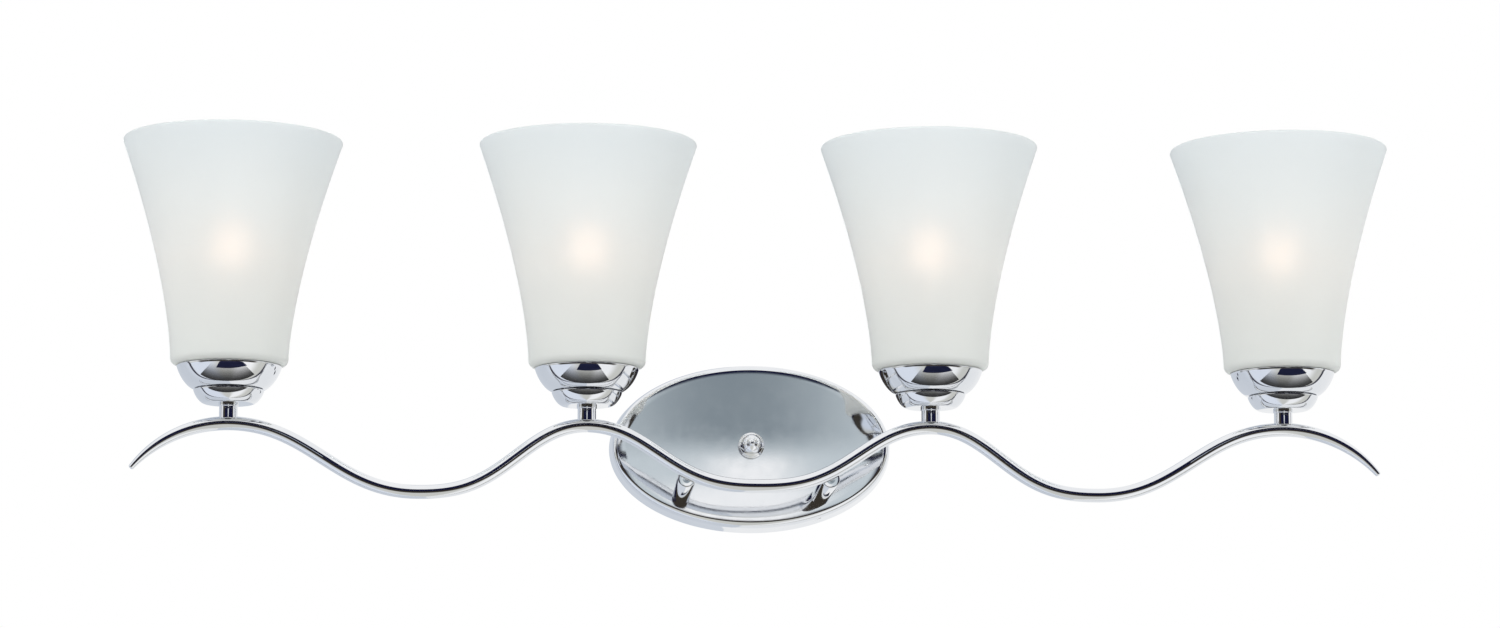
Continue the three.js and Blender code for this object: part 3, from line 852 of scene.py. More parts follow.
def rib_ring_tree() -> Grower:
    """Rounded ribs or dimples set evenly round a ring.

    Returns:
        The tree.
    """
    grower = Grower("rib_ring")
    count = grower.size("Count", "NodeSocketInt", 24)
    radius = grower.size("Radius", "NodeSocketFloat", 0.02)
    rib = grower.size("Rib", "NodeSocketVector", (0.001, 0.001, 0.001))
    middle = grower.size("Middle", "NodeSocketVector", (0.0, 0.0, 0.0))
    ring = grower.add("GeometryNodeMeshCircle")
    bead = grower.add("GeometryNodeMeshUVSphere")
    bead.inputs["Segments"].default_value = 10
    bead.inputs["Rings"].default_value = 8
    bead.inputs["Radius"].default_value = 1.0
    sizing = grower.add("GeometryNodeTransform")
    spot = grower.add("GeometryNodeInputPosition")
    outward = grower.add("FunctionNodeAlignRotationToVector", axis="X", pivot_axis="Z")
    instances = grower.add("GeometryNodeInstanceOnPoints")
    place = grower.add("GeometryNodeTransform")
    grower.join(count, ring.inputs["Vertices"])
    grower.join(radius, ring.inputs["Radius"])
    grower.join(bead.outputs["Mesh"], sizing.inputs["Geometry"])
    grower.join(rib, sizing.inputs["Scale"])
    grower.join(spot.outputs["Position"], outward.inputs["Vector"])
    grower.join(ring.outputs["Mesh"], instances.inputs["Points"])
    grower.join(sizing.outputs["Geometry"], instances.inputs["Instance"])
    grower.join(outward.outputs["Rotation"], instances.inputs["Rotation"])
    realize = grower.add("GeometryNodeRealizeInstances")
    grower.join(instances.outputs["Instances"], realize.inputs["Geometry"])
    grower.join(realize.outputs["Geometry"], place.inputs["Geometry"])
    grower.join(middle, place.inputs["Translation"])
    grower.close(place.outputs["Geometry"])
    return grower


class Growers:
    """The trees that pieces share."""

    tube: Grower
    thread: Grower
    ribs: Grower

    @classmethod
    def prepare(cls) -> None:
        """Build the trees once the frame is loaded."""
        cls.tube = swept_tube_tree()
        cls.thread = thread_tree()
        cls.ribs = rib_ring_tree()


def polyline(name: str, points: Sequence[Vector], radii: Sequence[float]) -> bpy.types.Mesh:
    """A seed of edges with a thickness at each point.

    Args:
        name: The mesh's name.
        points: The points in order.
        radii: The thickness at each point.

    Returns:
        The seed mesh.
    """
    seed = bpy.data.meshes.new(name)
    seed.from_pydata(points, [(k, k + 1) for k in range(len(points) - 1)], [])
    attribute = seed.attributes.new("thickness", "FLOAT", "POINT")
    attribute.data.foreach_set("value", list(radii))
    return seed


def wound_thread(
    name: str,
    finish: Any,
    middle: Vector,
    radius: float,
    length: float,
    pitch: float,
    rib: float,
    facing: Facing = Facing.UP,
) -> bpy.types.Object:
    """Wind a thread ridge round a rod.

    Args:
        name: The piece's name.
        finish: The piece's finish.
        middle: Where the thread starts, on its axis.
        radius: Radius of the ridge's middle.
        length: Length along the axis.
        pitch: Rise per turn.
        rib: Radius of the ridge's own section.
        facing: Which way the thread runs from its start.

    Returns:
        The piece.
    """
    lean = {Facing.UP: 0.0, Facing.ROOM: math.pi / 2.0, Facing.WALL: -math.pi / 2.0}[facing]
    seed = bpy.data.meshes.new(f"{name}.seed")
    sizes = {
        "Radius": radius,
        "Turns": length / pitch,
        "Length": length,
        "Rib": rib,
        "Middle": tuple(middle),
        "Lean": (lean, 0.0, 0.0),
    }
    return Growers.thread.grow(name, seed, finish, sizes)


def settle(
    piece: bpy.types.Object, body: str, nodes: Sequence[str] = ()
) -> bpy.types.Object:
    """Put a piece on its body and stand it for its CAD nodes.

    Args:
        piece: The finished piece.
        body: The CAD body it rides on.
        nodes: The CAD nodes it stands for.

    Returns:
        The same piece.
    """
    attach(piece, body)
    if nodes:
        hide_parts(*nodes)
    log.info("%s rides on %s", piece.name, body)
    return piece


# ---- Wave bar -----------------------------------------------------------------------------


@dataclass
class WaveBar:
    """The long tube that waves up under each light and curls down at both ends."""

    reach: float = 135 * MM
    inner_crest: float = 119 * MM
    trough_span: float = 115.8 * MM
    outer_span: float = 130.2 * MM
    inner_dip: float = 41.5 * MM
    outer_dip: float = 46.7 * MM
    flank_share: float = 0.03
    trough_breadth: float = 1.22
    radius: float = 4.75 * MM
    end_arc_radius: float = 85.5 * MM
    end_arc_angle: float = math.radians(50)
    tip_radius: float = 2.0 * MM
    wave_steps: int = 34
    arc_steps: int = 26
    sides: int = 40

    def half_wave(self, turn: float, breadth: float) -> float:
        """Half a wave as a share of its depth: 1 in the trough and 0 on the crest.

        Args:
            turn: 0 in the trough, 1 on the crest.
            breadth: Over 1 makes the trough broader than the crest.

        Returns:
            The share of the wave's depth.
        """
        angle = math.pi * turn**breadth
        swing = math.cos(angle) - self.flank_share * math.cos(3.0 * angle)
        return (1.0 + swing / (1.0 - self.flank_share)) / 2.0

    def height(self, x: float) -> float:
        """Height of the centreline between the outer crests.

        Args:
            x: The place along the bar.

        Returns:
            The height, 0 on a crest.
        """
        away = abs(x)
        trough = self.inner_crest + self.trough_span
        if away <= self.inner_crest:
            return -self.inner_dip * self.half_wave(away / self.inner_crest, self.trough_breadth)
        if away <= trough:
            turn = (trough - away) / self.trough_span
            return -self.outer_dip * self.half_wave(turn, self.trough_breadth)
        return -self.outer_dip * self.half_wave(min(1.0, (away - trough) / self.outer_span), 1.0)

    def stations(self) -> list[tuple[float, float, float]]:
        """Points along the right half of the bar, from the middle to the tip.

        Returns:
            Each point as (x, z, radius).
        """
        trough = self.inner_crest + self.trough_span
        crest = trough + self.outer_span
        stops = [0.0, self.inner_crest, trough, crest]
        points = []
        for start, end in zip(stops, stops[1:]):
            for step in range(self.wave_steps):
                x = start + (end - start) * step / self.wave_steps
                points.append((x, self.height(x), self.radius))
        for step in range(self.arc_steps + 1):
            share = step / self.arc_steps
            points.append((*self.on_arc(share), self.taper(share)))
        rounding = 6
        for step in range(1, rounding + 1):
            turn = 0.5 * math.pi * step / (rounding + 0.5)
            beyond = math.sin(turn) * self.tip_radius / (self.end_arc_radius * self.end_arc_angle)
            points.append((*self.on_arc(1.0 + beyond * 0.6), self.tip_radius * math.cos(turn)))
        return points

    def on_arc(self, share: float) -> tuple[float, float]:
        """A point on the end arc.

        Args:
            share: 0 at the outer crest, 1 at the tip.

        Returns:
            The point's x and z.
        """
        crest = self.inner_crest + self.trough_span + self.outer_span
        angle = share * self.end_arc_angle
        x = crest + self.end_arc_radius * math.sin(angle)
        return x, -self.end_arc_radius * (1.0 - math.cos(angle))

    def taper(self, share: float) -> float:
        """The radius on the end arc, which thins towards the tip.

        Args:
            share: 0 at the outer crest, 1 at the tip.

        Returns:
            The radius.
        """
        return self.radius - (self.radius - self.tip_radius) * share**2

    def build(self) -> None:
        """Sweep the bar along its wave."""
        right = self.stations()
        left = [(-x, z, r) for x, z, r in reversed(right[1:])]
        whole = left + right
        points = [Vector((x, -self.reach, z)) for x, z, _ in whole]
        seed = polyline("wave_bar.seed", points, [r for _, _, r in whole])
        bar = Growers.tube.grow("wave_tube", seed, CHROME, {"Sides": self.sides})
        settle(bar, "fixture", ["wave_bar"])


# ---- Holder: stem, neck dome and shade cup --------------------------------------------------


@dataclass
class Holder:
    """The chrome stem, neck dome and shade cup of one light."""

    number: int
    stem_radius: float = 6.35 * MM
    sheet: float = 1.0 * MM
    neck_floor: float = 16.0 * MM
    neck_rim: float = 24.25 * MM
    cup_floor: float = 22.5 * MM
    cup_rim: float = 36.0 * MM
    fullness: float = 0.65
    segments: int = 128

    def node(self, kind: str) -> str:
        """The CAD node of one kind in this light."""
        return f"{kind}_{self.number}"

    def centre(self) -> Vector:
        """The light's axis at the height of the bar's crest."""
        low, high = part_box(self.node("shade_glass"))
        return Vector(((low.x + high.x) / 2.0, (low.y + high.y) / 2.0, 0.0))

    def wall(
        self, inner: float, outer: float, bottom: float, top: float, steps: int = 22
    ) -> list[ProfilePoint]:
        """The side of a pressed dish, from its floor to its rim.

        Args:
            inner: Radius at the floor.
            outer: Radius at the rim.
            bottom: Height of the floor.
            top: Height of the rim.
            steps: Points up the side.

        Returns:
            Points as (radius, height).
        """
        points: list[ProfilePoint] = []
        for step in range(steps + 1):
            angle = 0.5 * math.pi * step / steps
            rise = 1.0 - math.cos(angle)
            share = self.fullness * math.sin(angle) + (1.0 - self.fullness) * rise
            points.append((inner + (outer - inner) * share, bottom + (top - bottom) * rise))
        return points

    def dish(self, inner: float, outer: float, bottom: float, top: float) -> list[ProfilePoint]:
        """A pressed dish with a rolled rim and a hole for the nipple.

        Args:
            inner: Radius of its floor.
            outer: Radius of its rim.
            bottom: Height of its underside.
            top: Height of its rim.

        Returns:
            The closed outline.
        """
        hole = 5.5 * MM
        lip = self.sheet / 2.0
        outside = self.wall(inner, outer, bottom, top - lip)
        inside = self.wall(inner, outer - self.sheet, bottom + self.sheet, top - lip)
        roll = []
        for step in range(1, 6):
            angle = math.pi * step / 6.0
            roll.append((outer - lip + lip * math.cos(angle), top - lip + lip * math.sin(angle)))
        return [(hole, bottom), *outside, *roll, *inside[::-1], (hole, bottom + self.sheet)]

    def build(self) -> None:
        """Build the three chrome pieces."""
        centre = self.centre()
        stem_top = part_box(self.node("neck_dome"))[0].z
        stem = turned(
            f"stem_tube_{self.number}",
            rounded(
                [
                    (4.6 * MM, 3.0 * MM, 0.0),
                    (self.stem_radius, 3.0 * MM, 0.4 * MM),
                    (self.stem_radius, stem_top - 1.9 * MM, 0.2 * MM),
                    (self.stem_radius + 0.55 * MM, stem_top - 1.6 * MM, 0.3 * MM),
                    (self.stem_radius + 0.55 * MM, stem_top + 0.2 * MM, 0.1 * MM),
                    (4.6 * MM, stem_top + 0.2 * MM, 0.0),
                ]
            ),
            CHROME,
            centre,
            segments=self.segments,
        )
        settle(stem, "fixture", [self.node("stem")])
        for name, kind, floor, rim in (
            ("neck_cover", "neck_dome", self.neck_floor, self.neck_rim),
            ("shade_holder", "shade_cup", self.cup_floor, self.cup_rim),
        ):
            low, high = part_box(self.node(kind))
            dish = turned(
                f"{name}_{self.number}",
                self.dish(floor, rim, low.z, high.z),
                CHROME,
                centre,
                segments=self.segments,
            )
            settle(dish, "fixture", [self.node(kind)])


# ---- Shade --------------------------------------------------------------------------------


@dataclass
class Shade:
    """One frosted glass shade, flared towards its open top."""

    holder: Holder
    base_radius: float = 40.5 * MM
    rim_radius: float = 76.2 * MM
    wall: float = 3.4 * MM
    floor: float = 4.0 * MM
    corner: float = 5.0 * MM
    hole: float = 21.0 * MM
    flare_power: float = 1.5
    steps: int = 44
    segments: int = 144

    def radius(self, height: float, bottom: float, top: float) -> float:
        """Outer radius of the side at a height.

        Args:
            height: The height.
            bottom: Underside of the shade.
            top: Top of the shade.

        Returns:
            The radius.
        """
        start = bottom + self.corner
        share = max(0.0, (height - start) / (top - start))
        return self.base_radius + (self.rim_radius - self.base_radius) * share**self.flare_power

    def build(self) -> None:
        """Turn the glass."""
        node = self.holder.node("shade_glass")
        low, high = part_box(node)
        bottom, top = low.z, high.z
        lip = self.wall / 2.0
        bevel, inner_corner = 0.6 * MM, 3.0 * MM
        points: list[ProfilePoint] = [(self.hole, bottom + bevel), (self.hole + bevel, bottom)]
        for step in range(9):
            angle = 0.5 * math.pi * step / 8.0
            r = self.base_radius - self.corner * (1.0 - math.sin(angle))
            points.append((r, bottom + self.corner * (1.0 - math.cos(angle))))
        side_bottom, side_top = bottom + self.corner, top - lip
        for step in range(1, self.steps + 1):
            z = side_bottom + (side_top - side_bottom) * step / self.steps
            points.append((self.radius(z, bottom, top), z))
        crown = self.radius(side_top, bottom, top) - lip
        for step in range(1, 8):
            angle = math.pi * step / 8.0
            points.append((crown + lip * math.cos(angle), side_top + lip * math.sin(angle)))
        inner_bottom = bottom + self.floor + inner_corner
        for step in range(self.steps + 1):
            z = side_top + (inner_bottom - side_top) * step / self.steps
            points.append((self.radius(z, bottom, top) - self.wall, z))
        inner = self.base_radius - self.wall
        for step in range(1, 7):
            angle = 0.5 * math.pi * step / 6.0
            reach = inner_corner * (1.0 - math.cos(angle))
            points.append((inner - reach, inner_bottom - inner_corner * math.sin(angle)))
        points += [
            (self.hole + bevel, bottom + self.floor),
            (self.hole, bottom + self.floor - bevel),
        ]
        glass = turned(
            f"frosted_shade_{self.holder.number}",
            points,
            FROSTED,
            self.holder.centre(),
            segments=self.segments,
        )
        settle(glass, "fixture", [node])


# ---- Socket -------------------------------------------------------------------------------


@dataclass
class Socket:
    """The porcelain socket, its brass screw shell, the shade ring and the nipple."""

    holder: Holder
    pitch: float = SCREW_BASE_PITCH
    outer: float = 19.0 * MM
    bore: float = 15.2 * MM
    floor: float = 4.0 * MM
    pipe_hole: float = 5.5 * MM
    shell_radius: float = 14.45 * MM
    shell_inside: float = 14.0 * MM
    shell_roll: float = 0.32 * MM
    pipe_radius: float = 4.8 * MM
    pipe_bore: float = 3.4 * MM

    def piece(self, kind: str) -> str:
        """A piece name for this light."""
        return f"{kind}_{self.holder.number}"

    def build(self) -> None:
        """Build the socket from the bottom up."""
        centre = self.holder.centre()
        node = self.holder.node
        low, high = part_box(node("socket_body"))
        bore, outer, floor = self.bore, self.outer, low.z + self.floor
        body = turned(
            self.piece("porcelain_body"),
            rounded(
                [
                    (self.pipe_hole, low.z, 0.0),
                    (outer, low.z, 1.2 * MM),
                    (outer, high.z, 1.0 * MM),
                    (bore, high.z, 0.7 * MM),
                    (bore, floor, 1.0 * MM),
                    (self.pipe_hole, floor, 0.3 * MM),
                ]
            ),
            CERAMIC,
            centre,
            segments=80,
        )
        settle(body, "fixture", [node("socket_body")])
        thread = wound_thread(
            self.piece("socket_thread"), CERAMIC, centre + Vector((0, 0, 43.0 * MM)),
            outer - 0.1 * MM, 16.0 * MM, 2.6 * MM, 0.42 * MM,
        )
        settle(thread, "fixture")
        self.build_shell(centre)
        self.build_ring(centre)
        self.build_nipple(centre)

    def build_shell(self, centre: Vector) -> None:
        """Press the brass screw shell.

        Args:
            centre: The light's axis.
        """
        node = self.holder.node("socket_shell")
        low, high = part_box(node)
        outside, inside = [], []
        steps = 44
        for step in range(steps + 1):
            z = low.z + (high.z - low.z) * step / steps
            depth = self.shell_roll * min(1.0, step / 4.0, (steps - step) / 4.0)
            outside.append((threaded(self.shell_radius, depth, self.pitch, z), z))
            inside.append((threaded(self.shell_inside, depth, self.pitch, z), z))
        shell = turned(
            self.piece("screw_shell"), [*outside, *inside[::-1]], SHELL_BRASS, centre, segments=72
        )
        settle(shell, "fixture", [node])
        floor_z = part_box(self.holder.node("socket_body"))[0].z + self.floor
        tab = turned(
            self.piece("centre_tab"),
            rounded(
                [
                    (0.0, floor_z + 5.0 * MM, 0.0),
                    (0.0, floor_z + 5.4 * MM, 0.0),
                    (3.2 * MM, floor_z + 5.4 * MM, 0.2 * MM),
                    (3.2 * MM, floor_z + 5.0 * MM, 0.2 * MM),
                ]
            ),
            SHELL_BRASS,
            centre,
            segments=32,
        )
        settle(tab, "fixture")

    def build_ring(self, centre: Vector) -> None:
        """Turn the shade ring and set the grip ribs round it.

        Args:
            centre: The light's axis.
        """
        node = self.holder.node("shade_ring")
        low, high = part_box(node)
        flange, skirt, bore, lip = 26.0 * MM, 21.9 * MM, 19.4 * MM, 2.5 * MM
        ring = turned(
            self.piece("clamp_ring"),
            rounded(
                [
                    (bore, low.z, 0.4 * MM),
                    (flange, low.z, 0.8 * MM),
                    (flange, low.z + lip, 0.9 * MM),
                    (skirt, low.z + lip, 0.8 * MM),
                    (skirt, high.z, 0.7 * MM),
                    (bore, high.z, 0.5 * MM),
                ]
            ),
            CERAMIC,
            centre,
            segments=80,
        )
        settle(ring, "fixture", [node])
        seed = bpy.data.meshes.new("grip_ribs.seed")
        middle = Vector((centre.x, centre.y, (low.z + lip + high.z) / 2.0))
        ribs = Growers.ribs.grow(
            self.piece("grip_ribs"), seed, CERAMIC,
            {
                "Count": 28,
                "Radius": skirt,
                "Rib": (0.7 * MM, 0.9 * MM, 2.0 * MM),
                "Middle": tuple(middle),
            },
        )
        settle(ribs, "fixture")

    def build_nipple(self, centre: Vector) -> None:
        """Turn the threaded nipple that clamps the light together.

        Args:
            centre: The light's axis.
        """
        node = self.holder.node("nipple")
        low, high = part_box(node)
        tube = turned(
            self.piece("lamp_pipe"),
            rounded(
                [
                    (self.pipe_bore, low.z, 0.2 * MM),
                    (self.pipe_radius, low.z, 0.4 * MM),
                    (self.pipe_radius, high.z, 0.4 * MM),
                    (self.pipe_bore, high.z, 0.2 * MM),
                ],
                3,
            ),
            ZINC,
            centre,
            segments=40,
        )
        settle(tube, "fixture", [node])
        thread = wound_thread(
            self.piece("pipe_thread"), ZINC, centre + Vector((0, 0, 27.0 * MM)),
            self.pipe_radius, high.z - 27.6 * MM, 0.94 * MM, 0.3 * MM,
        )
        settle(thread, "fixture")


# ---- Lamp ---------------------------------------------------------------------------------


@dataclass
class Lamp:
    """One screw-base bulb: glass, lit capsule, cap, foot insulator and contact."""

    holder: Holder
    globe: float = 30.0 * MM
    neck: float = 11.0 * MM
    wall: float = 1.0 * MM
    pitch: float = SCREW_BASE_PITCH
    join_angle: float = math.radians(-38)
    capsule_lift: float = 7.0 * MM
    capsule_radius: float = 11.0 * MM
    capsule_half: float = 14.0 * MM
    cap_radius: float = 12.5 * MM
    cap_inside: float = 12.05 * MM
    cap_roll: float = 0.42 * MM
    foot_height: float = 2.4 * MM

    @property
    def body(self) -> str:
        """The CAD body that the bulb rides on."""
        return f"bulb_{self.holder.number}"

    def piece(self, kind: str) -> str:
        """A piece name for this light."""
        return f"{kind}_{self.holder.number}"

    def face(self, inset: float) -> list[ProfilePoint]:
        """One face of the glass, from the neck to the crown.

        Args:
            inset: Depth inside the outer face.

        Returns:
            Points as (radius, height).
        """
        low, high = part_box(self.holder.node("bulb_glass"))
        cap_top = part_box(self.holder.node("bulb_base"))[1].z
        globe, neck = self.globe - inset, self.neck - inset
        middle = high.z - self.globe
        foot = cap_top + 2.4 * MM
        turn = self.join_angle
        join = Vector((globe * math.cos(turn), middle + globe * math.sin(turn)))
        rise = join.y - foot
        pulls = [
            Vector((neck, foot)),
            Vector((neck + 1.0 * MM, foot + rise * 0.45)),
            Vector((join.x + rise * 0.25 * math.sin(turn), foot + rise * 0.72)),
            join,
        ]
        points: list[ProfilePoint] = [(neck, low.z)]
        for step in range(17):
            t = step / 16.0
            weights = [(1 - t) ** 3, 3 * t * (1 - t) ** 2, 3 * t * t * (1 - t), t**3]
            spot = sum((p * w for p, w in zip(pulls, weights)), Vector((0.0, 0.0)))
            points.append((spot.x, spot.y))
        for step in range(1, 28):
            angle = turn + (math.pi / 2.0 - turn) * step / 28.0
            points.append((globe * math.cos(angle), middle + globe * math.sin(angle)))
        points.append((0.0, middle + globe))
        return points

    def build(self) -> None:
        """Build the bulb."""
        centre = self.holder.centre()
        node = self.holder.node
        glass = turned(
            self.piece("lamp_envelope"),
            [*self.face(0.0), *self.face(self.wall)[::-1]],
            LAMP_GLASS,
            centre,
            segments=72,
        )
        glass.visible_shadow = False
        settle(glass, self.body, [node("bulb_glass")])
        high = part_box(node("bulb_glass"))[1]
        middle = high.z - self.globe + self.capsule_lift
        capsule = turned(
            self.piece("lit_capsule"),
            rounded(
                [
                    (0.0, middle - self.capsule_half, 0.0),
                    (self.capsule_radius, middle - self.capsule_half, 9.0 * MM),
                    (self.capsule_radius, middle + self.capsule_half, 13.0 * MM),
                    (0.0, middle + 15.0 * MM, 0.0),
                ],
                8,
            ),
            LAMP_GLOW,
            centre,
            segments=32,
        )
        settle(capsule, self.body)
        mount = turned(
            self.piece("glass_mount"),
            rounded(
                [
                    (0.0, middle - 56.0 * MM, 0.0),
                    (7.5 * MM, middle - 56.0 * MM, 2.0 * MM),
                    (3.0 * MM, middle - 40.0 * MM, 6.0 * MM),
                    (2.4 * MM, middle - 14.2 * MM, 0.5 * MM),
                    (0.0, middle - 14.2 * MM, 0.0),
                ],
                6,
            ),
            LAMP_GLASS,
            centre,
            segments=32,
        )
        settle(mount, self.body)
        self.build_cap(centre)

    def build_cap(self, centre: Vector) -> None:
        """Press the cap with its rolled thread, its insulator and its contact.

        Args:
            centre: The light's axis.
        """
        node = self.holder.node
        low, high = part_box(node("bulb_base"))
        outside, inside = [], []
        steps = 54
        foot = self.foot_height
        for step in range(steps + 1):
            z = low.z + foot + (high.z - low.z - foot) * step / steps
            depth = self.cap_roll * min(1.0, step / 5.0, max(0.0, (steps - step - 6) / 6.0))
            outside.append((threaded(self.cap_radius, depth, self.pitch, z), z))
            inside.append((threaded(self.cap_inside, depth, self.pitch, z), z))
        cap = turned(
            self.piece("screw_cap"),
            [(9.4 * MM, low.z + 0.6 * MM), *outside, *inside[::-1], (9.0 * MM, low.z + 1.0 * MM)],
            CAP_ALUMINIUM,
            centre,
            segments=72,
        )
        settle(cap, self.body, [node("bulb_base")])
        insulator = turned(
            self.piece("foot_insulator"),
            rounded(
                [
                    (4.9 * MM, low.z + 0.1 * MM, 0.3 * MM),
                    (9.6 * MM, low.z + 0.9 * MM, 0.5 * MM),
                    (9.3 * MM, low.z + 2.0 * MM, 0.4 * MM),
                    (4.9 * MM, low.z + 2.0 * MM, 0.2 * MM),
                ],
                4,
            ),
            BLACK_GLASS,
            centre,
            segments=48,
        )
        settle(insulator, self.body)
        contact_low, contact_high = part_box(node("bulb_contact"))
        contact = turned(
            self.piece("foot_contact"),
            rounded(
                [
                    (0.0, contact_low.z, 0.0),
                    (3.4 * MM, contact_low.z + 0.2 * MM, 1.0 * MM),
                    (4.6 * MM, contact_low.z + 1.3 * MM, 0.5 * MM),
                    (4.6 * MM, contact_high.z, 0.3 * MM),
                    (0.0, contact_high.z, 0.0),
                ],
                5,
            ),
            SHELL_BRASS,
            centre,
            segments=48,
        )
        settle(contact, f"{self.body}_contact", [node("bulb_contact")])


# ---- Canopy -------------------------------------------------------------------------------


@dataclass
class Canopy:
    """The oval chrome pan that covers the outlet box, open at the wall."""

    wall: float = 1.2 * MM
    edge: float = 7.0 * MM
    turn_in: float = 4.6 * MM
    draft: float = 1.5 * MM
    crown: float = 0.7 * MM
    segments: int = 160

    def skin(self, inset: float) -> list[tuple[float, float, float]]:
        """One face of the pan from the wall to the middle of its face.

        Args:
            inset: Depth inside the outer face.

        Returns:
            Rings as (inset from the outline, height off the wall, share of the face's middle).
        """
        depth = -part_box("canopy")[0].y
        shoulder = depth - self.edge
        edge = self.edge - inset
        rings = [(inset, 0.0, 0.0), (inset + self.draft * 0.5, shoulder * 0.5, 0.0)]
        for step in range(15):
            angle = 0.5 * math.pi * step / 14.0
            into = self.draft + self.turn_in - (self.turn_in - inset) * math.cos(angle)
            rise = shoulder + (edge - self.crown) * math.sin(angle)
            rings.append((into, rise, 0.0))
        face = depth - inset
        for step in range(1, 17):
            share = step / 16.0
            rise = face - self.crown * (1.0 - share) ** 2
            rings.append((self.draft + self.turn_in, rise, share))
        return rings

    def build(self) -> None:
        """Press the pan."""
        low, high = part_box("canopy")
        half_width, half_height = (high.x - low.x) / 2.0, (high.z - low.z) / 2.0
        rings = [*self.skin(0.0), *self.skin(self.wall)[::-1]]
        vertices = []
        for inset, height, share in rings:
            for step in range(self.segments):
                angle = TURN * step / self.segments
                x = (half_width - inset) * (1.0 - share) * math.cos(angle)
                z = (half_height - inset) * (1.0 - share) * math.sin(angle)
                vertices.append((x, -height, z))
        faces = ring_faces([share >= 1.0 for _, _, share in rings], self.segments)
        mesh = bpy.data.meshes.new("canopy_pan")
        mesh.from_pydata(vertices, [], faces)
        mesh.update()
        pan = finished("canopy_pan", mesh, CHROME)
        settle(pan, "fixture", ["canopy"])


# ---- Posts --------------------------------------------------------------------------------


@dataclass
class Post:
    """One post between the canopy and the bar, with its nut and the leads that leave it."""

    side: Side
    radius: float = 6.35 * MM
    stud_radius: float = 4.6 * MM
    bore: float = 3.2 * MM
    lead_span: tuple[float, float] = (-30.0 * MM, -9.3 * MM)
    lead_radius: float = 1.05 * MM
    lead_twist: float = 1.15 * MM
    lead_turns: float = 0.8

    @property
    def word(self) -> str:
        """The side in the CAD node names."""
        return self.side.name.lower()

    def build(self) -> None:
        """Build the post and its fittings."""
        low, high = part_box(f"post_{self.word}")
        x, z = (low.x + high.x) / 2.0, (low.z + high.z) / 2.0
        axis = Vector((x, 0.0, z))
        seat = -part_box("canopy")[0].y
        front, back = -low.y, -high.y
        rod = turned(
            f"post_rod_{self.word}",
            rounded(
                [
                    (0.0, front - 0.5 * MM, 0.0),
                    (1.3 * MM, front - 0.5 * MM, 0.2 * MM),
                    (1.6 * MM, front, 0.2 * MM),
                    (self.radius, front, 0.8 * MM),
                    (self.radius, seat - 0.9 * MM, 0.1 * MM),
                    (self.stud_radius, seat - 0.9 * MM, 0.1 * MM),
                    (self.stud_radius, back, 0.4 * MM),
                    (self.bore, back, 0.2 * MM),
                    (self.bore, back + 60.0 * MM, 0.2 * MM),
                    (0.0, back + 60.0 * MM, 0.0),
                ]
            ),
            CHROME,
            axis,
            Facing.ROOM,
            segments=72,
        )
        settle(rod, "fixture", [f"post_{self.word}"])
        thread = wound_thread(
            f"post_thread_{self.word}", ZINC, Vector((x, -back - 0.4 * MM, z)),
            self.stud_radius, 8.4 * MM, 0.94 * MM, 0.3 * MM, Facing.ROOM,
        )
        settle(thread, "fixture")
        HexNut(f"post_nut_{self.word}", 13.0 * MM, 4.9 * MM).build()
        self.build_leads(axis)

    def build_leads(self, axis: Vector) -> None:
        """Draw the insulated leads where they come out of the post.

        Args:
            axis: The post's axis.
        """
        start, end = self.lead_span
        for index, finish in enumerate((BLACK_COVER, WHITE_COVER)):
            phase = math.pi * index
            points, radii = [], []
            for step in range(25):
                share = step / 24.0
                angle = phase + share * self.lead_turns * TURN
                spot = Vector((math.cos(angle), 0.0, math.sin(angle))) * self.lead_twist
                points.append(axis + spot + Vector((0.0, start + (end - start) * share, 0.0)))
                radii.append(self.lead_radius)
            name = f"lead_{'black' if index == 0 else 'white'}_{self.word}"
            seed = polyline(name, points, radii)
            lead = Growers.tube.grow(name, seed, finish, {"Sides": 16})
            settle(lead, "fixture")


@dataclass
class HexNut:
    """A hexagon nut on an axis that runs into the wall."""

    node: str
    flats: float
    hole: float

    def build(self) -> None:
        """Build the nut with chamfered corners."""
        low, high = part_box(self.node)
        axis = Vector(((low.x + high.x) / 2.0, low.y, (low.z + high.z) / 2.0))
        thick = high.y - low.y
        side = hexagon(self.flats)
        cone = self.flats / 2.0 * 1.01
        profile: list[ProfilePoint] = [
            (self.hole + 0.5 * MM, 0.0),
            (lambda a: min(side(a), cone), 0.0),
            (side, lambda a: max(0.0, side(a) - cone) * 0.55),
            (side, lambda a: thick - max(0.0, side(a) - cone) * 0.55),
            (lambda a: min(side(a), cone), thick),
            (self.hole + 0.5 * MM, thick),
            (self.hole, thick - 0.5 * MM),
            (self.hole, 0.5 * MM),
        ]
        nut = turned(f"hex_{self.node}", profile, ZINC, axis, Facing.WALL, 72, 24.0)
        settle(nut, "fixture", [self.node])


# ---- Outlet box fittings --------------------------------------------------------------------


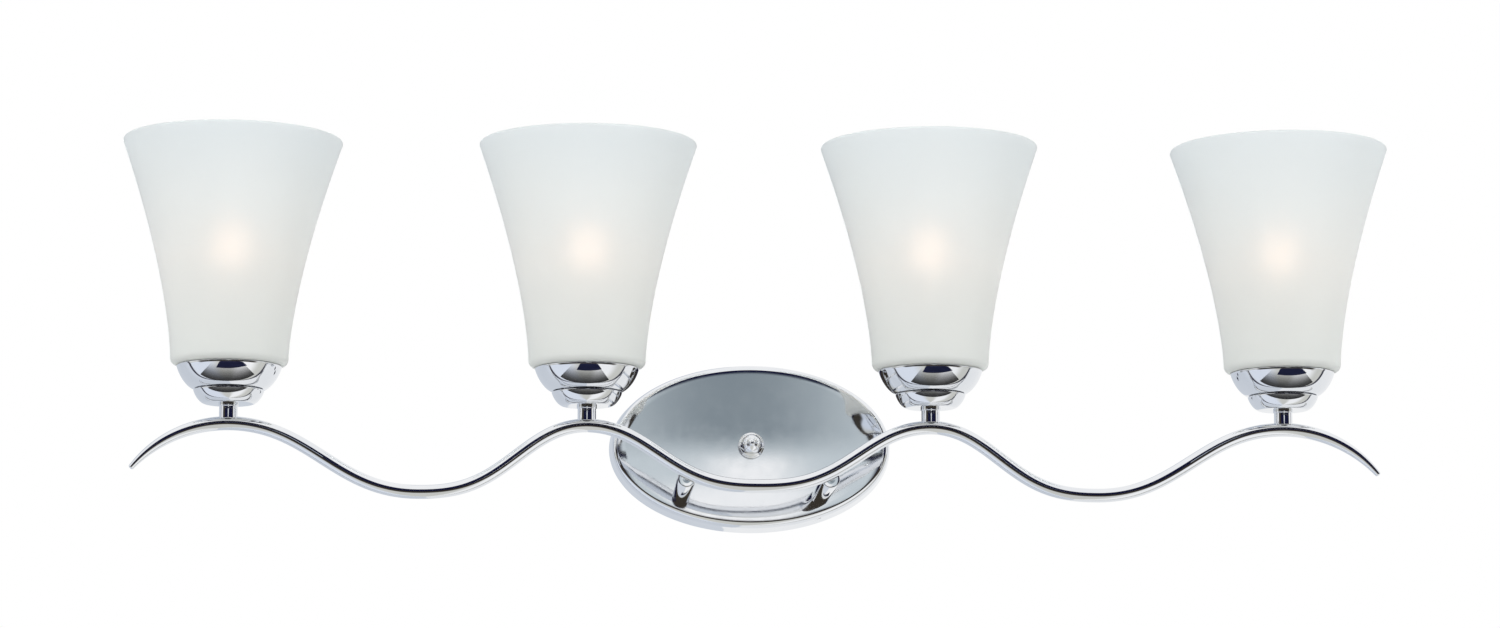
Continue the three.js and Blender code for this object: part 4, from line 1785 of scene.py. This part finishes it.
@dataclass
class WallFittings:
    """The crossbar, its screws, the centre stud and its locknut."""

    width: float = 18.0 * MM
    length: float = 106.0 * MM
    thick: float = 2.0 * MM
    stud_hole: float = 5.5 * MM
    screw_hole: float = 2.5 * MM
    box_screw_x: float = 44.45 * MM
    ground_screw_x: float = 24.0 * MM

    def build(self) -> None:
        """Build all the fittings."""
        self.build_crossbar()
        self.build_screw("box_screw_left", ZINC)
        self.build_screw("box_screw_right", ZINC)
        self.build_screw("ground_screw", GROUND_GREEN)
        self.build_stud()
        HexNut("stud_locknut", 15.0 * MM, 5.3 * MM).build()

    def build_crossbar(self) -> None:
        """Stamp the strap with its holes."""
        outline = self.outline()
        holes = [self.circle(0.0, self.stud_hole)]
        for x in (-self.box_screw_x, self.box_screw_x, self.ground_screw_x, -self.ground_screw_x):
            holes.append(self.circle(x, self.screw_hole))
        work = bmesh.new()
        edges = []
        for ring in [outline, *holes]:
            corners = [work.verts.new((x, 0.0, z)) for x, z in ring]
            edges += [work.edges.new((a, b)) for a, b in zip(corners, corners[1:] + corners[:1])]
        bmesh.ops.triangle_fill(work, edges=edges, use_beauty=True, use_dissolve=False)
        sheet = list(work.faces)
        grown = bmesh.ops.extrude_face_region(work, geom=sheet)
        moved = [e for e in grown["geom"] if isinstance(e, bmesh.types.BMVert)]
        bmesh.ops.translate(work, verts=moved, vec=Vector((0.0, -self.thick, 0.0)))
        bmesh.ops.recalc_face_normals(work, faces=work.faces)
        mesh = bpy.data.meshes.new("strap")
        work.to_mesh(mesh)
        work.free()
        put_in_order(mesh)
        strap = finished("crossbar_strap", mesh, ZINC, 30.0)
        settle(strap, "fixture", ["crossbar"])

    def outline(self) -> list[tuple[float, float]]:
        """The strap's outline, with round ends.

        Returns:
            Points as (x, z).
        """
        radius, half = self.width / 2.0, (self.length - self.width) / 2.0
        points = []
        for end, start in ((1.0, -0.5 * math.pi), (-1.0, 0.5 * math.pi)):
            for step in range(25):
                angle = start + math.pi * step / 24.0
                points.append((end * half + radius * math.cos(angle), radius * math.sin(angle)))
        return points

    def circle(self, x: float, radius: float) -> list[tuple[float, float]]:
        """A round hole in the strap.

        Args:
            x: Its place along the strap.
            radius: Its radius.

        Returns:
            Points as (x, z).
        """
        turns = [TURN * step / 28.0 for step in range(28)]
        return [(x + radius * math.cos(a), radius * math.sin(a)) for a in turns]

    def build_screw(self, node: str, finish: Any) -> None:
        """Turn a pan-head screw with a cross recess.

        Args:
            node: The CAD node.
            finish: The screw's finish.
        """
        low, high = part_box(node)
        axis = Vector(((low.x + high.x) / 2.0, 0.0, (low.z + high.z) / 2.0))
        front, tip, seat = -low.y, -high.y, 2.3 * MM
        head = 4.1 * MM

        def cross(angle: float) -> float:
            """The radius of the cross recess."""
            across = abs(math.sin(2.0 * angle))
            return 0.8 * MM + 1.4 * MM * (1.0 - across) ** 3

        profile: list[ProfilePoint] = [
            (0.0, front - 1.5 * MM),
            (lambda a: cross(a) * 0.7, front - 1.3 * MM),
            (cross, front - 0.1 * MM),
            (2.6 * MM, front - 0.02 * MM),
            (3.5 * MM, front - 0.35 * MM),
            (head - 0.1 * MM, front - 1.1 * MM),
            (head, front - 1.8 * MM),
            (head, seat),
            (1.8 * MM, seat),
            (1.8 * MM, tip + 0.8 * MM),
            (1.1 * MM, tip),
            (0.0, tip),
        ]
        screw = turned(f"{node}_body", profile, finish, axis, Facing.ROOM, 64)
        settle(screw, "fixture", [node])
        start = Vector((axis.x, -tip - 0.5 * MM, axis.z))
        thread = wound_thread(
            f"{node}_thread", finish, start, 1.85 * MM, seat - tip - 0.8 * MM,
            0.79 * MM, 0.26 * MM, Facing.ROOM,
        )
        settle(thread, "fixture")

    def build_stud(self) -> None:
        """Turn the centre stud and wind its thread."""
        low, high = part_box("center_stud")
        front, back, radius = -low.y, -high.y, 4.85 * MM
        stud = turned(
            "stud_core",
            rounded(
                [
                    (0.0, back, 0.0),
                    (radius, back, 0.4 * MM),
                    (radius, front, 0.7 * MM),
                    (0.0, front, 0.0),
                ]
            ),
            ZINC,
            Vector((0.0, 0.0, 0.0)),
            Facing.ROOM,
            56,
        )
        settle(stud, "fixture", ["center_stud"])
        thread = wound_thread(
            "stud_thread", ZINC, Vector((0.0, -back - 0.6 * MM, 0.0)), radius - 0.05 * MM,
            front - back - 1.4 * MM, 0.9407 * MM, 0.3 * MM, Facing.ROOM,
        )
        settle(thread, "fixture")


# ---- Finial -------------------------------------------------------------------------------


@dataclass
class Finial:
    """The knob that screws on the stud and holds the canopy, and its washer."""

    ball: float = 7.0 * MM
    flange: float = 9.3 * MM
    bore: float = 5.7 * MM
    ball_lift: float = 10.0 * MM
    nub: float = 2.3 * MM
    bore_depth: float = 7.2 * MM
    washer: float = 8.0 * MM

    def build(self) -> None:
        """Build the knob and the washer."""
        low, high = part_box("finial_knob")
        back, front = -high.y, -low.y
        middle = back + self.ball_lift
        profile: list[ProfilePoint] = rounded(
            [
                (self.bore, back, 0.2 * MM),
                (self.flange, back, 0.5 * MM),
                (self.flange, back + 2.0 * MM, 0.4 * MM),
                (self.flange - 0.9 * MM, back + 2.3 * MM, 0.3 * MM),
                (self.flange - 1.2 * MM, back + 3.2 * MM, 0.4 * MM),
                (self.ball - 1.9 * MM, back + 4.2 * MM, 0.3 * MM),
            ],
            4,
        )
        neck_angle = math.radians(-52)
        top_angle = math.acos(self.nub / self.ball)
        for step in range(1, 29):
            angle = neck_angle + (top_angle - neck_angle) * step / 28.0
            profile.append((self.ball * math.cos(angle), middle + self.ball * math.sin(angle)))
        nub = self.nub
        for step in range(1, 10):
            angle = 0.5 * math.pi * step / 9.0
            top = front - nub * 0.9
            profile.append((nub * math.cos(angle), top + nub * 0.9 * math.sin(angle)))
        profile[-1] = (0.0, front)
        bore_end = back + self.bore_depth
        profile += [(0.0, bore_end), (self.bore, bore_end)]
        origin = Vector((0.0, 0.0, 0.0))
        knob = turned("finial_cap", profile, CHROME, origin, Facing.ROOM, 96)
        settle(knob, "knob", ["finial_knob"])
        low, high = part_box("finial_washer")
        washer = turned(
            "finial_ring",
            rounded(
                [
                    (self.bore, -high.y, 0.15 * MM),
                    (self.washer, -high.y, 0.3 * MM),
                    (self.washer, -low.y, 0.3 * MM),
                    (self.bore, -low.y, 0.15 * MM),
                ],
                3,
            ),
            CHROME,
            origin,
            Facing.ROOM,
            72,
        )
        settle(washer, "washer", ["finial_washer"])


# ---- Wiring -------------------------------------------------------------------------------


@dataclass
class Wiring:
    """The bundle of leads that fills the bar, out of sight."""

    def build(self) -> None:
        """Dress the CAD bundle, which the other pieces hide."""
        bundle = bpy.data.objects["wiring_harness"]
        bundle.data.materials.clear()
        bundle.data.materials.append(WARDROBE.get(BLACK_COVER))
        log.info("wiring_harness keeps its CAD shape")


# ---- Surroundings -------------------------------------------------------------------------


@dataclass(frozen=True)
class Panel:
    """A soft-edged patch of the room, as polished metal sees it.

    Directions are in degrees. Azimuth 0 is straight out from the wall and grows towards +X, and
    elevation 0 is level.
    """

    name: str
    azimuth: tuple[float, float]
    elevation: tuple[float, float]
    colour: Colour
    soft_azimuth: float = 4.0
    soft_elevation: float = 3.0
    weight: float = 1.0


ROOM_PANELS = (
    Panel("wall_left", (-180.0, -96.0), (-90.0, 40.0), (0.64, 0.68, 0.74), 6.0, 12.0),
    Panel("front_low", (-96.0, 96.0), (-90.0, -3.0), (0.64, 0.64, 0.60), 1.0, 3.0),
    Panel("left_softbox", (-84.0, -50.0), (-90.0, -16.0), (0.78, 0.83, 0.92), 34.0, 8.0),
    Panel("right_softbox", (34.0, 56.0), (-90.0, -16.0), (1.0, 1.0, 1.0), 26.0, 8.0),
    Panel("edge_left", (-99.0, -94.0), (-90.0, 10.0), (0.05, 0.05, 0.07), 1.0, 6.0),
    Panel("edge_right", (94.0, 99.0), (-90.0, 10.0), (0.05, 0.05, 0.07), 1.0, 6.0),
    Panel("bench_edge", (-60.0, 60.0), (-19.0, 2.0), (0.045, 0.038, 0.03), 12.0, 7.0),
    Panel("dark_doorway", (-34.0, 54.0), (1.0, 36.0), (0.008, 0.009, 0.035), 9.0, 3.0),
    Panel("grey_wall", (-2.0, 7.6), (1.6, 11.6), (0.62, 0.68, 0.71), 2.0, 0.9),
    Panel("dark_wall", (2.0, 2.8), (7.8, 11.8), (0.25, 0.295, 0.325), 4.6, 1.7),
    Panel("low_glare", (1.2, 3.6), (1.0, 4.3), (1.0, 1.0, 1.0), 2.2, 1.0),
    Panel("high_glare", (2.5, 3.1), (4.0, 5.9), (1.0, 1.0, 1.0), 1.6, 1.0),
)


class Room(NodeWork):
    """The world's nodes: plain white, except for what mirrors see."""

    def __init__(self, tree: bpy.types.NodeTree) -> None:
        """Find the direction of each ray.

        Args:
            tree: The world's node tree.
        """
        self.tree = tree
        tree.nodes.clear()
        split = self.add("ShaderNodeSeparateXYZ")
        self.join(self.add("ShaderNodeTexCoord").outputs["Generated"], split.inputs["Vector"])
        outward = self.math("MULTIPLY", split.outputs["Y"], -1.0)
        self.azimuth = self.math(
            "MULTIPLY", self.math("ARCTAN2", split.outputs["X"], outward), math.degrees(1.0)
        )
        self.elevation = self.math(
            "MULTIPLY", self.math("ARCSINE", split.outputs["Z"], 0.0), math.degrees(1.0)
        )
        self.colour: Any = None

    def math(self, operation: str, first: Any, second: Any) -> Any:
        """One step of arithmetic.

        Args:
            operation: The Math node's operation.
            first: A socket.
            second: A socket or a number.

        Returns:
            The result.
        """
        node = self.add("ShaderNodeMath", operation=operation)
        self.join(first, node.inputs[0])
        if isinstance(second, (int, float)):
            node.inputs[1].default_value = second
        else:
            self.join(second, node.inputs[1])
        return node.outputs["Value"]

    def lay_base(self) -> None:
        """Start with light grey low down and white overhead."""
        spread = self.add("ShaderNodeMapRange")
        spread.inputs["From Min"].default_value = -30.0
        spread.inputs["From Max"].default_value = 50.0
        self.join(self.elevation, spread.inputs["Value"])
        shades = self.add("ShaderNodeValToRGB")
        stops = shades.color_ramp.elements
        stops[0].color = (0.88, 0.89, 0.90, 1.0)
        stops[1].color = (0.98, 0.98, 0.98, 1.0)
        self.join(spread.outputs["Result"], shades.inputs["Fac"])
        self.colour = shades.outputs["Color"]

    def window(self, source: Any, low: float, high: float, soft: float) -> Any:
        """How far an angle lies inside a range, with soft ends.

        Args:
            source: The angle.
            low: Start of the range.
            high: End of the range.
            soft: Degrees over which each end fades.

        Returns:
            1 inside the range and 0 outside.
        """
        away = self.math("ABSOLUTE", self.math("SUBTRACT", source, (low + high) / 2.0), 0.0)
        fade = self.add("ShaderNodeMapRange", interpolation_type="SMOOTHSTEP")
        fade.inputs["From Min"].default_value = (high - low) / 2.0 + soft
        fade.inputs["From Max"].default_value = (high - low) / 2.0
        self.join(away, fade.inputs["Value"])
        return fade.outputs["Result"]

    def hang(self, panel: Panel) -> None:
        """Lay a panel over what is there.

        Args:
            panel: The panel.
        """
        across = self.window(self.azimuth, *panel.azimuth, panel.soft_azimuth)
        upward = self.window(self.elevation, *panel.elevation, panel.soft_elevation)
        amount = self.math("MULTIPLY", self.math("MULTIPLY", across, upward), panel.weight)
        mix = self.add("ShaderNodeMix", data_type="RGBA")
        mix.inputs["B"].default_value = (*panel.colour, 1.0)
        self.join(amount, mix.inputs["Factor"])
        self.join(self.colour, mix.inputs["A"])
        self.colour = mix.outputs["Result"]
        log.info("room panel %s", panel.name)

    def close(self) -> None:
        """Show the room to glossy rays and plain white to all others."""
        path = self.add("ShaderNodeLightPath")
        mix = self.add("ShaderNodeMix", data_type="RGBA")
        mix.inputs["A"].default_value = (1.0, 1.0, 1.0, 1.0)
        background = self.add("ShaderNodeBackground")
        output = self.add("ShaderNodeOutputWorld")
        self.join(path.outputs["Is Glossy Ray"], mix.inputs["Factor"])
        self.join(self.colour, mix.inputs["B"])
        self.join(mix.outputs["Result"], background.inputs["Color"])
        self.join(background.outputs["Background"], output.inputs["Surface"])


# ---- Studio -------------------------------------------------------------------------------


@dataclass(frozen=True)
class FlagCloth:
    """Black flag cloth, which thins out between its near and far Y.

    With the two defaults it is solid wherever a flag hangs.
    """

    name: str
    colour: Colour
    near: float = -0.29
    far: float = -0.3

    def material(self) -> bpy.types.Material:
        """Build the cloth.

        Returns:
            The finished material.
        """
        bench = NodeBench(self.name)
        split = bench.add("ShaderNodeSeparateXYZ")
        fade = bench.add("ShaderNodeMapRange", interpolation_type="SMOOTHSTEP")
        fade.inputs["From Min"].default_value = self.far
        fade.inputs["From Max"].default_value = self.near
        bench.join(bench.place, split.inputs["Vector"])
        bench.join(split.outputs["Y"], fade.inputs["Value"])
        bench.join(fade.outputs["Result"], bench.shader.inputs["Alpha"])
        bench.set(Base_Color=(*self.colour, 1.0), Roughness=1.0, Specular_IOR_Level=0.0)
        return bench.material


@dataclass
class Flags:
    """The small black flags by the holders, posts and bar, which only polished metal mirrors."""

    gap_across: tuple[float, float] = (-19 * MM, 40 * MM)
    gap_out: tuple[float, float] = (-232 * MM, -189 * MM)
    shade_across: tuple[float, float] = (-38 * MM, 38 * MM)
    shade_out: tuple[float, float] = (-208 * MM, -162 * MM)
    height: float = 12.5 * MM
    canopy_reach: float = 92 * MM
    post_shade: tuple[float, float] = (-88 * MM, -56 * MM)
    post_shade_across: tuple[float, float] = (-20 * MM, 36 * MM)
    post_shade_back: float = 200 * MM
    ribbon_front: float = 148 * MM
    ribbon_rise: tuple[float, float] = (-0.3 * MM, 2.1 * MM)
    ribbon_reach: float = 300 * MM
    ribbon_steps: int = 120

    def build(self, x: float) -> None:
        """Hang the two flags of one light.

        Args:
            x: The light's place along the bar.
        """
        navy = FlagCloth("gap_cloth", (0.014, 0.016, 0.04))
        smoke = FlagCloth("shade_cloth", (0.05, 0.05, 0.05), self.shade_out[1], self.shade_out[0])
        self.hang("gap_flag", x, self.gap_across, self.gap_out, self.height, navy)
        self.hang("shade_flag", x, self.shade_across, self.shade_out, self.height - MM, smoke)

    def hang(
        self,
        name: str,
        x: float,
        across: tuple[float, float],
        out: tuple[float, float],
        height: float,
        finish: Any,
    ) -> None:
        """Hang one flag where cameras and shadows miss it.

        Args:
            name: The flag's name.
            x: The light's place along the bar.
            across: Its ends to the left and right of the light.
            out: Its far and near edge, along Y.
            height: Its height.
            finish: Its cloth.
        """
        left, right = x + across[0], x + across[1]
        if x > 0.0:
            left = max(left, self.canopy_reach)
        else:
            right = min(right, -self.canopy_reach)
        spots = [(left, out[0]), (right, out[0]), (right, out[1]), (left, out[1])]
        self.pin(name, [(a, b, height) for a, b in spots], finish)

    def build_post_flag(self, post_x: float) -> None:
        """Hang the flag that the underside of a post mirrors, some way behind the wall plane.

        Args:
            post_x: The post's place along the bar.
        """
        smoke = FlagCloth("post_cloth", (0.012, 0.014, 0.03))
        low, high = self.post_shade
        left, right = (post_x + reach for reach in self.post_shade_across)
        spots = [(left, low), (right, low), (right, high), (left, high)]
        self.pin("post_flag", [(a, self.post_shade_back, b) for a, b in spots], smoke)

    def build_ribbon(self, bar: WaveBar) -> None:
        """Hang the ribbon that draws the thin dark line along the front of the bar.

        Args:
            bar: The bar that the ribbon follows.
        """
        navy = FlagCloth("ribbon_cloth", (0.008, 0.009, 0.03))
        steps = self.ribbon_steps
        stations = [self.ribbon_reach * (2.0 * k / steps - 1.0) for k in range(steps + 1)]
        low, high = self.ribbon_rise
        lower = [(x, -self.ribbon_front, bar.height(x) + low) for x in stations]
        upper = [(x, -self.ribbon_front, bar.height(x) + high) for x in stations]
        faces = [(k, k + 1, steps + 2 + k, steps + 1 + k) for k in range(steps)]
        self.pin("ribbon_flag", lower + upper, navy, faces)

    def pin(
        self,
        name: str,
        spots: list[tuple[float, float, float]],
        finish: Any,
        faces: Sequence[tuple[int, ...]] = ((0, 1, 2, 3),),
    ) -> None:
        """Make a flag that cameras and shadows miss.

        Args:
            name: The flag's name.
            spots: Its points.
            finish: Its cloth.
            faces: Its faces.
        """
        mesh = bpy.data.meshes.new(name)
        mesh.from_pydata(spots, [], list(faces))
        mesh.materials.append(WARDROBE.get(finish))
        flag = bpy.data.objects.new(name, mesh)
        bpy.context.scene.collection.objects.link(flag)
        flag.visible_camera = False
        flag.visible_diffuse = False
        flag.visible_transmission = False
        flag.visible_shadow = False
        flag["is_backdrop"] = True


@dataclass
class Studio:
    """The floor, the lights, the surroundings and the camera."""

    camera_place: tuple[float, float, float] = (-0.1477, -3.0, -0.3644)
    camera_target: tuple[float, float, float] = (0.0004, 0.0, 0.0995)
    lens: float = 100.42
    floor_height: float = -1.0
    floor_size: float = 60.0
    light_target: tuple[float, float, float] = (0.0, -0.1, 0.05)

    def build(self) -> None:
        """Build the studio."""
        self.build_camera()
        self.build_floor()
        self.build_surroundings()
        self.build_lights()
        view = bpy.context.scene.view_settings
        view.view_transform = "Standard"
        view.look = "None"

    def build_camera(self) -> None:
        """Aim the camera a little up at the fixture."""
        data = bpy.data.cameras.new("camera")
        data.lens = self.lens
        data.sensor_width = 36.0
        data.clip_start = 0.02
        camera = bpy.data.objects.new("camera", data)
        bpy.context.scene.collection.objects.link(camera)
        place = Vector(self.camera_place)
        aim = Vector(self.camera_target) - place
        camera.location = place
        camera.rotation_euler = aim.to_track_quat("-Z", "Y").to_euler()
        bpy.context.scene.camera = camera

    def build_floor(self) -> None:
        """Lay the pale floor."""
        half = self.floor_size / 2.0
        corners = [(-half, -half), (half, -half), (half, half), (-half, half)]
        mesh = bpy.data.meshes.new("studio_floor")
        mesh.from_pydata([(x, y, self.floor_height) for x, y in corners], [], [(0, 1, 2, 3)])
        mesh.materials.append(WARDROBE.get(PAPER))
        floor = bpy.data.objects.new("studio_floor", mesh)
        bpy.context.scene.collection.objects.link(floor)
        floor.visible_glossy = False
        floor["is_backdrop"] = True

    def build_surroundings(self) -> None:
        """Fill the world with white, and with the room that polished metal mirrors."""
        world = bpy.data.worlds.new("studio_world")
        world.use_nodes = True
        room = Room(world.node_tree)
        room.lay_base()
        for panel in ROOM_PANELS:
            room.hang(panel)
        room.close()
        bpy.context.scene.world = world

    def build_lights(self) -> None:
        """Hang two soft boxes."""
        for name, place, size, power in (
            ("key_box", (-1.6, -2.4, 1.9), 1.6, 30.0),
            ("fill_box", (2.2, -1.8, 1.2), 1.8, 16.0),
        ):
            data = bpy.data.lights.new(name, "AREA")
            data.shape = "SQUARE"
            data.size = size
            data.energy = power
            lamp = bpy.data.objects.new(name, data)
            lamp.location = place
            lamp.visible_glossy = False
            aim = Vector(self.light_target) - Vector(place)
            lamp.rotation_euler = aim.to_track_quat("-Z", "Y").to_euler()
            bpy.context.scene.collection.objects.link(lamp)


def corners(box: tuple[Vector, Vector]) -> list[list[float]]:
    """A box as plain lists of numbers.

    Args:
        box: Its lowest and highest corner.

    Returns:
        The two corners.
    """
    return [list(map(float, corner)) for corner in box]


def main() -> None:
    """Build the scene in order."""
    logging.basicConfig(level=logging.INFO, format="%(name)s: %(message)s")
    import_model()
    cad_box = corners(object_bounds())
    Growers.prepare()
    Studio().build()
    bar = WaveBar()
    bar.build()
    Flags().build_ribbon(bar)
    Canopy().build()
    for side in Side:
        Post(side).build()
        low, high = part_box(f"post_{side.name.lower()}")
        Flags().build_post_flag((low.x + high.x) / 2.0)
    WallFittings().build()
    Finial().build()
    Wiring().build()
    for number in range(1, 5):
        holder = Holder(number)
        holder.build()
        Socket(holder).build()
        Lamp(holder).build()
        Shade(holder).build()
        Flags().build(holder.centre().x)
    {"cad": cad_box, "visual": corners(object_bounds())}


if __name__ == "__main__":
    main()
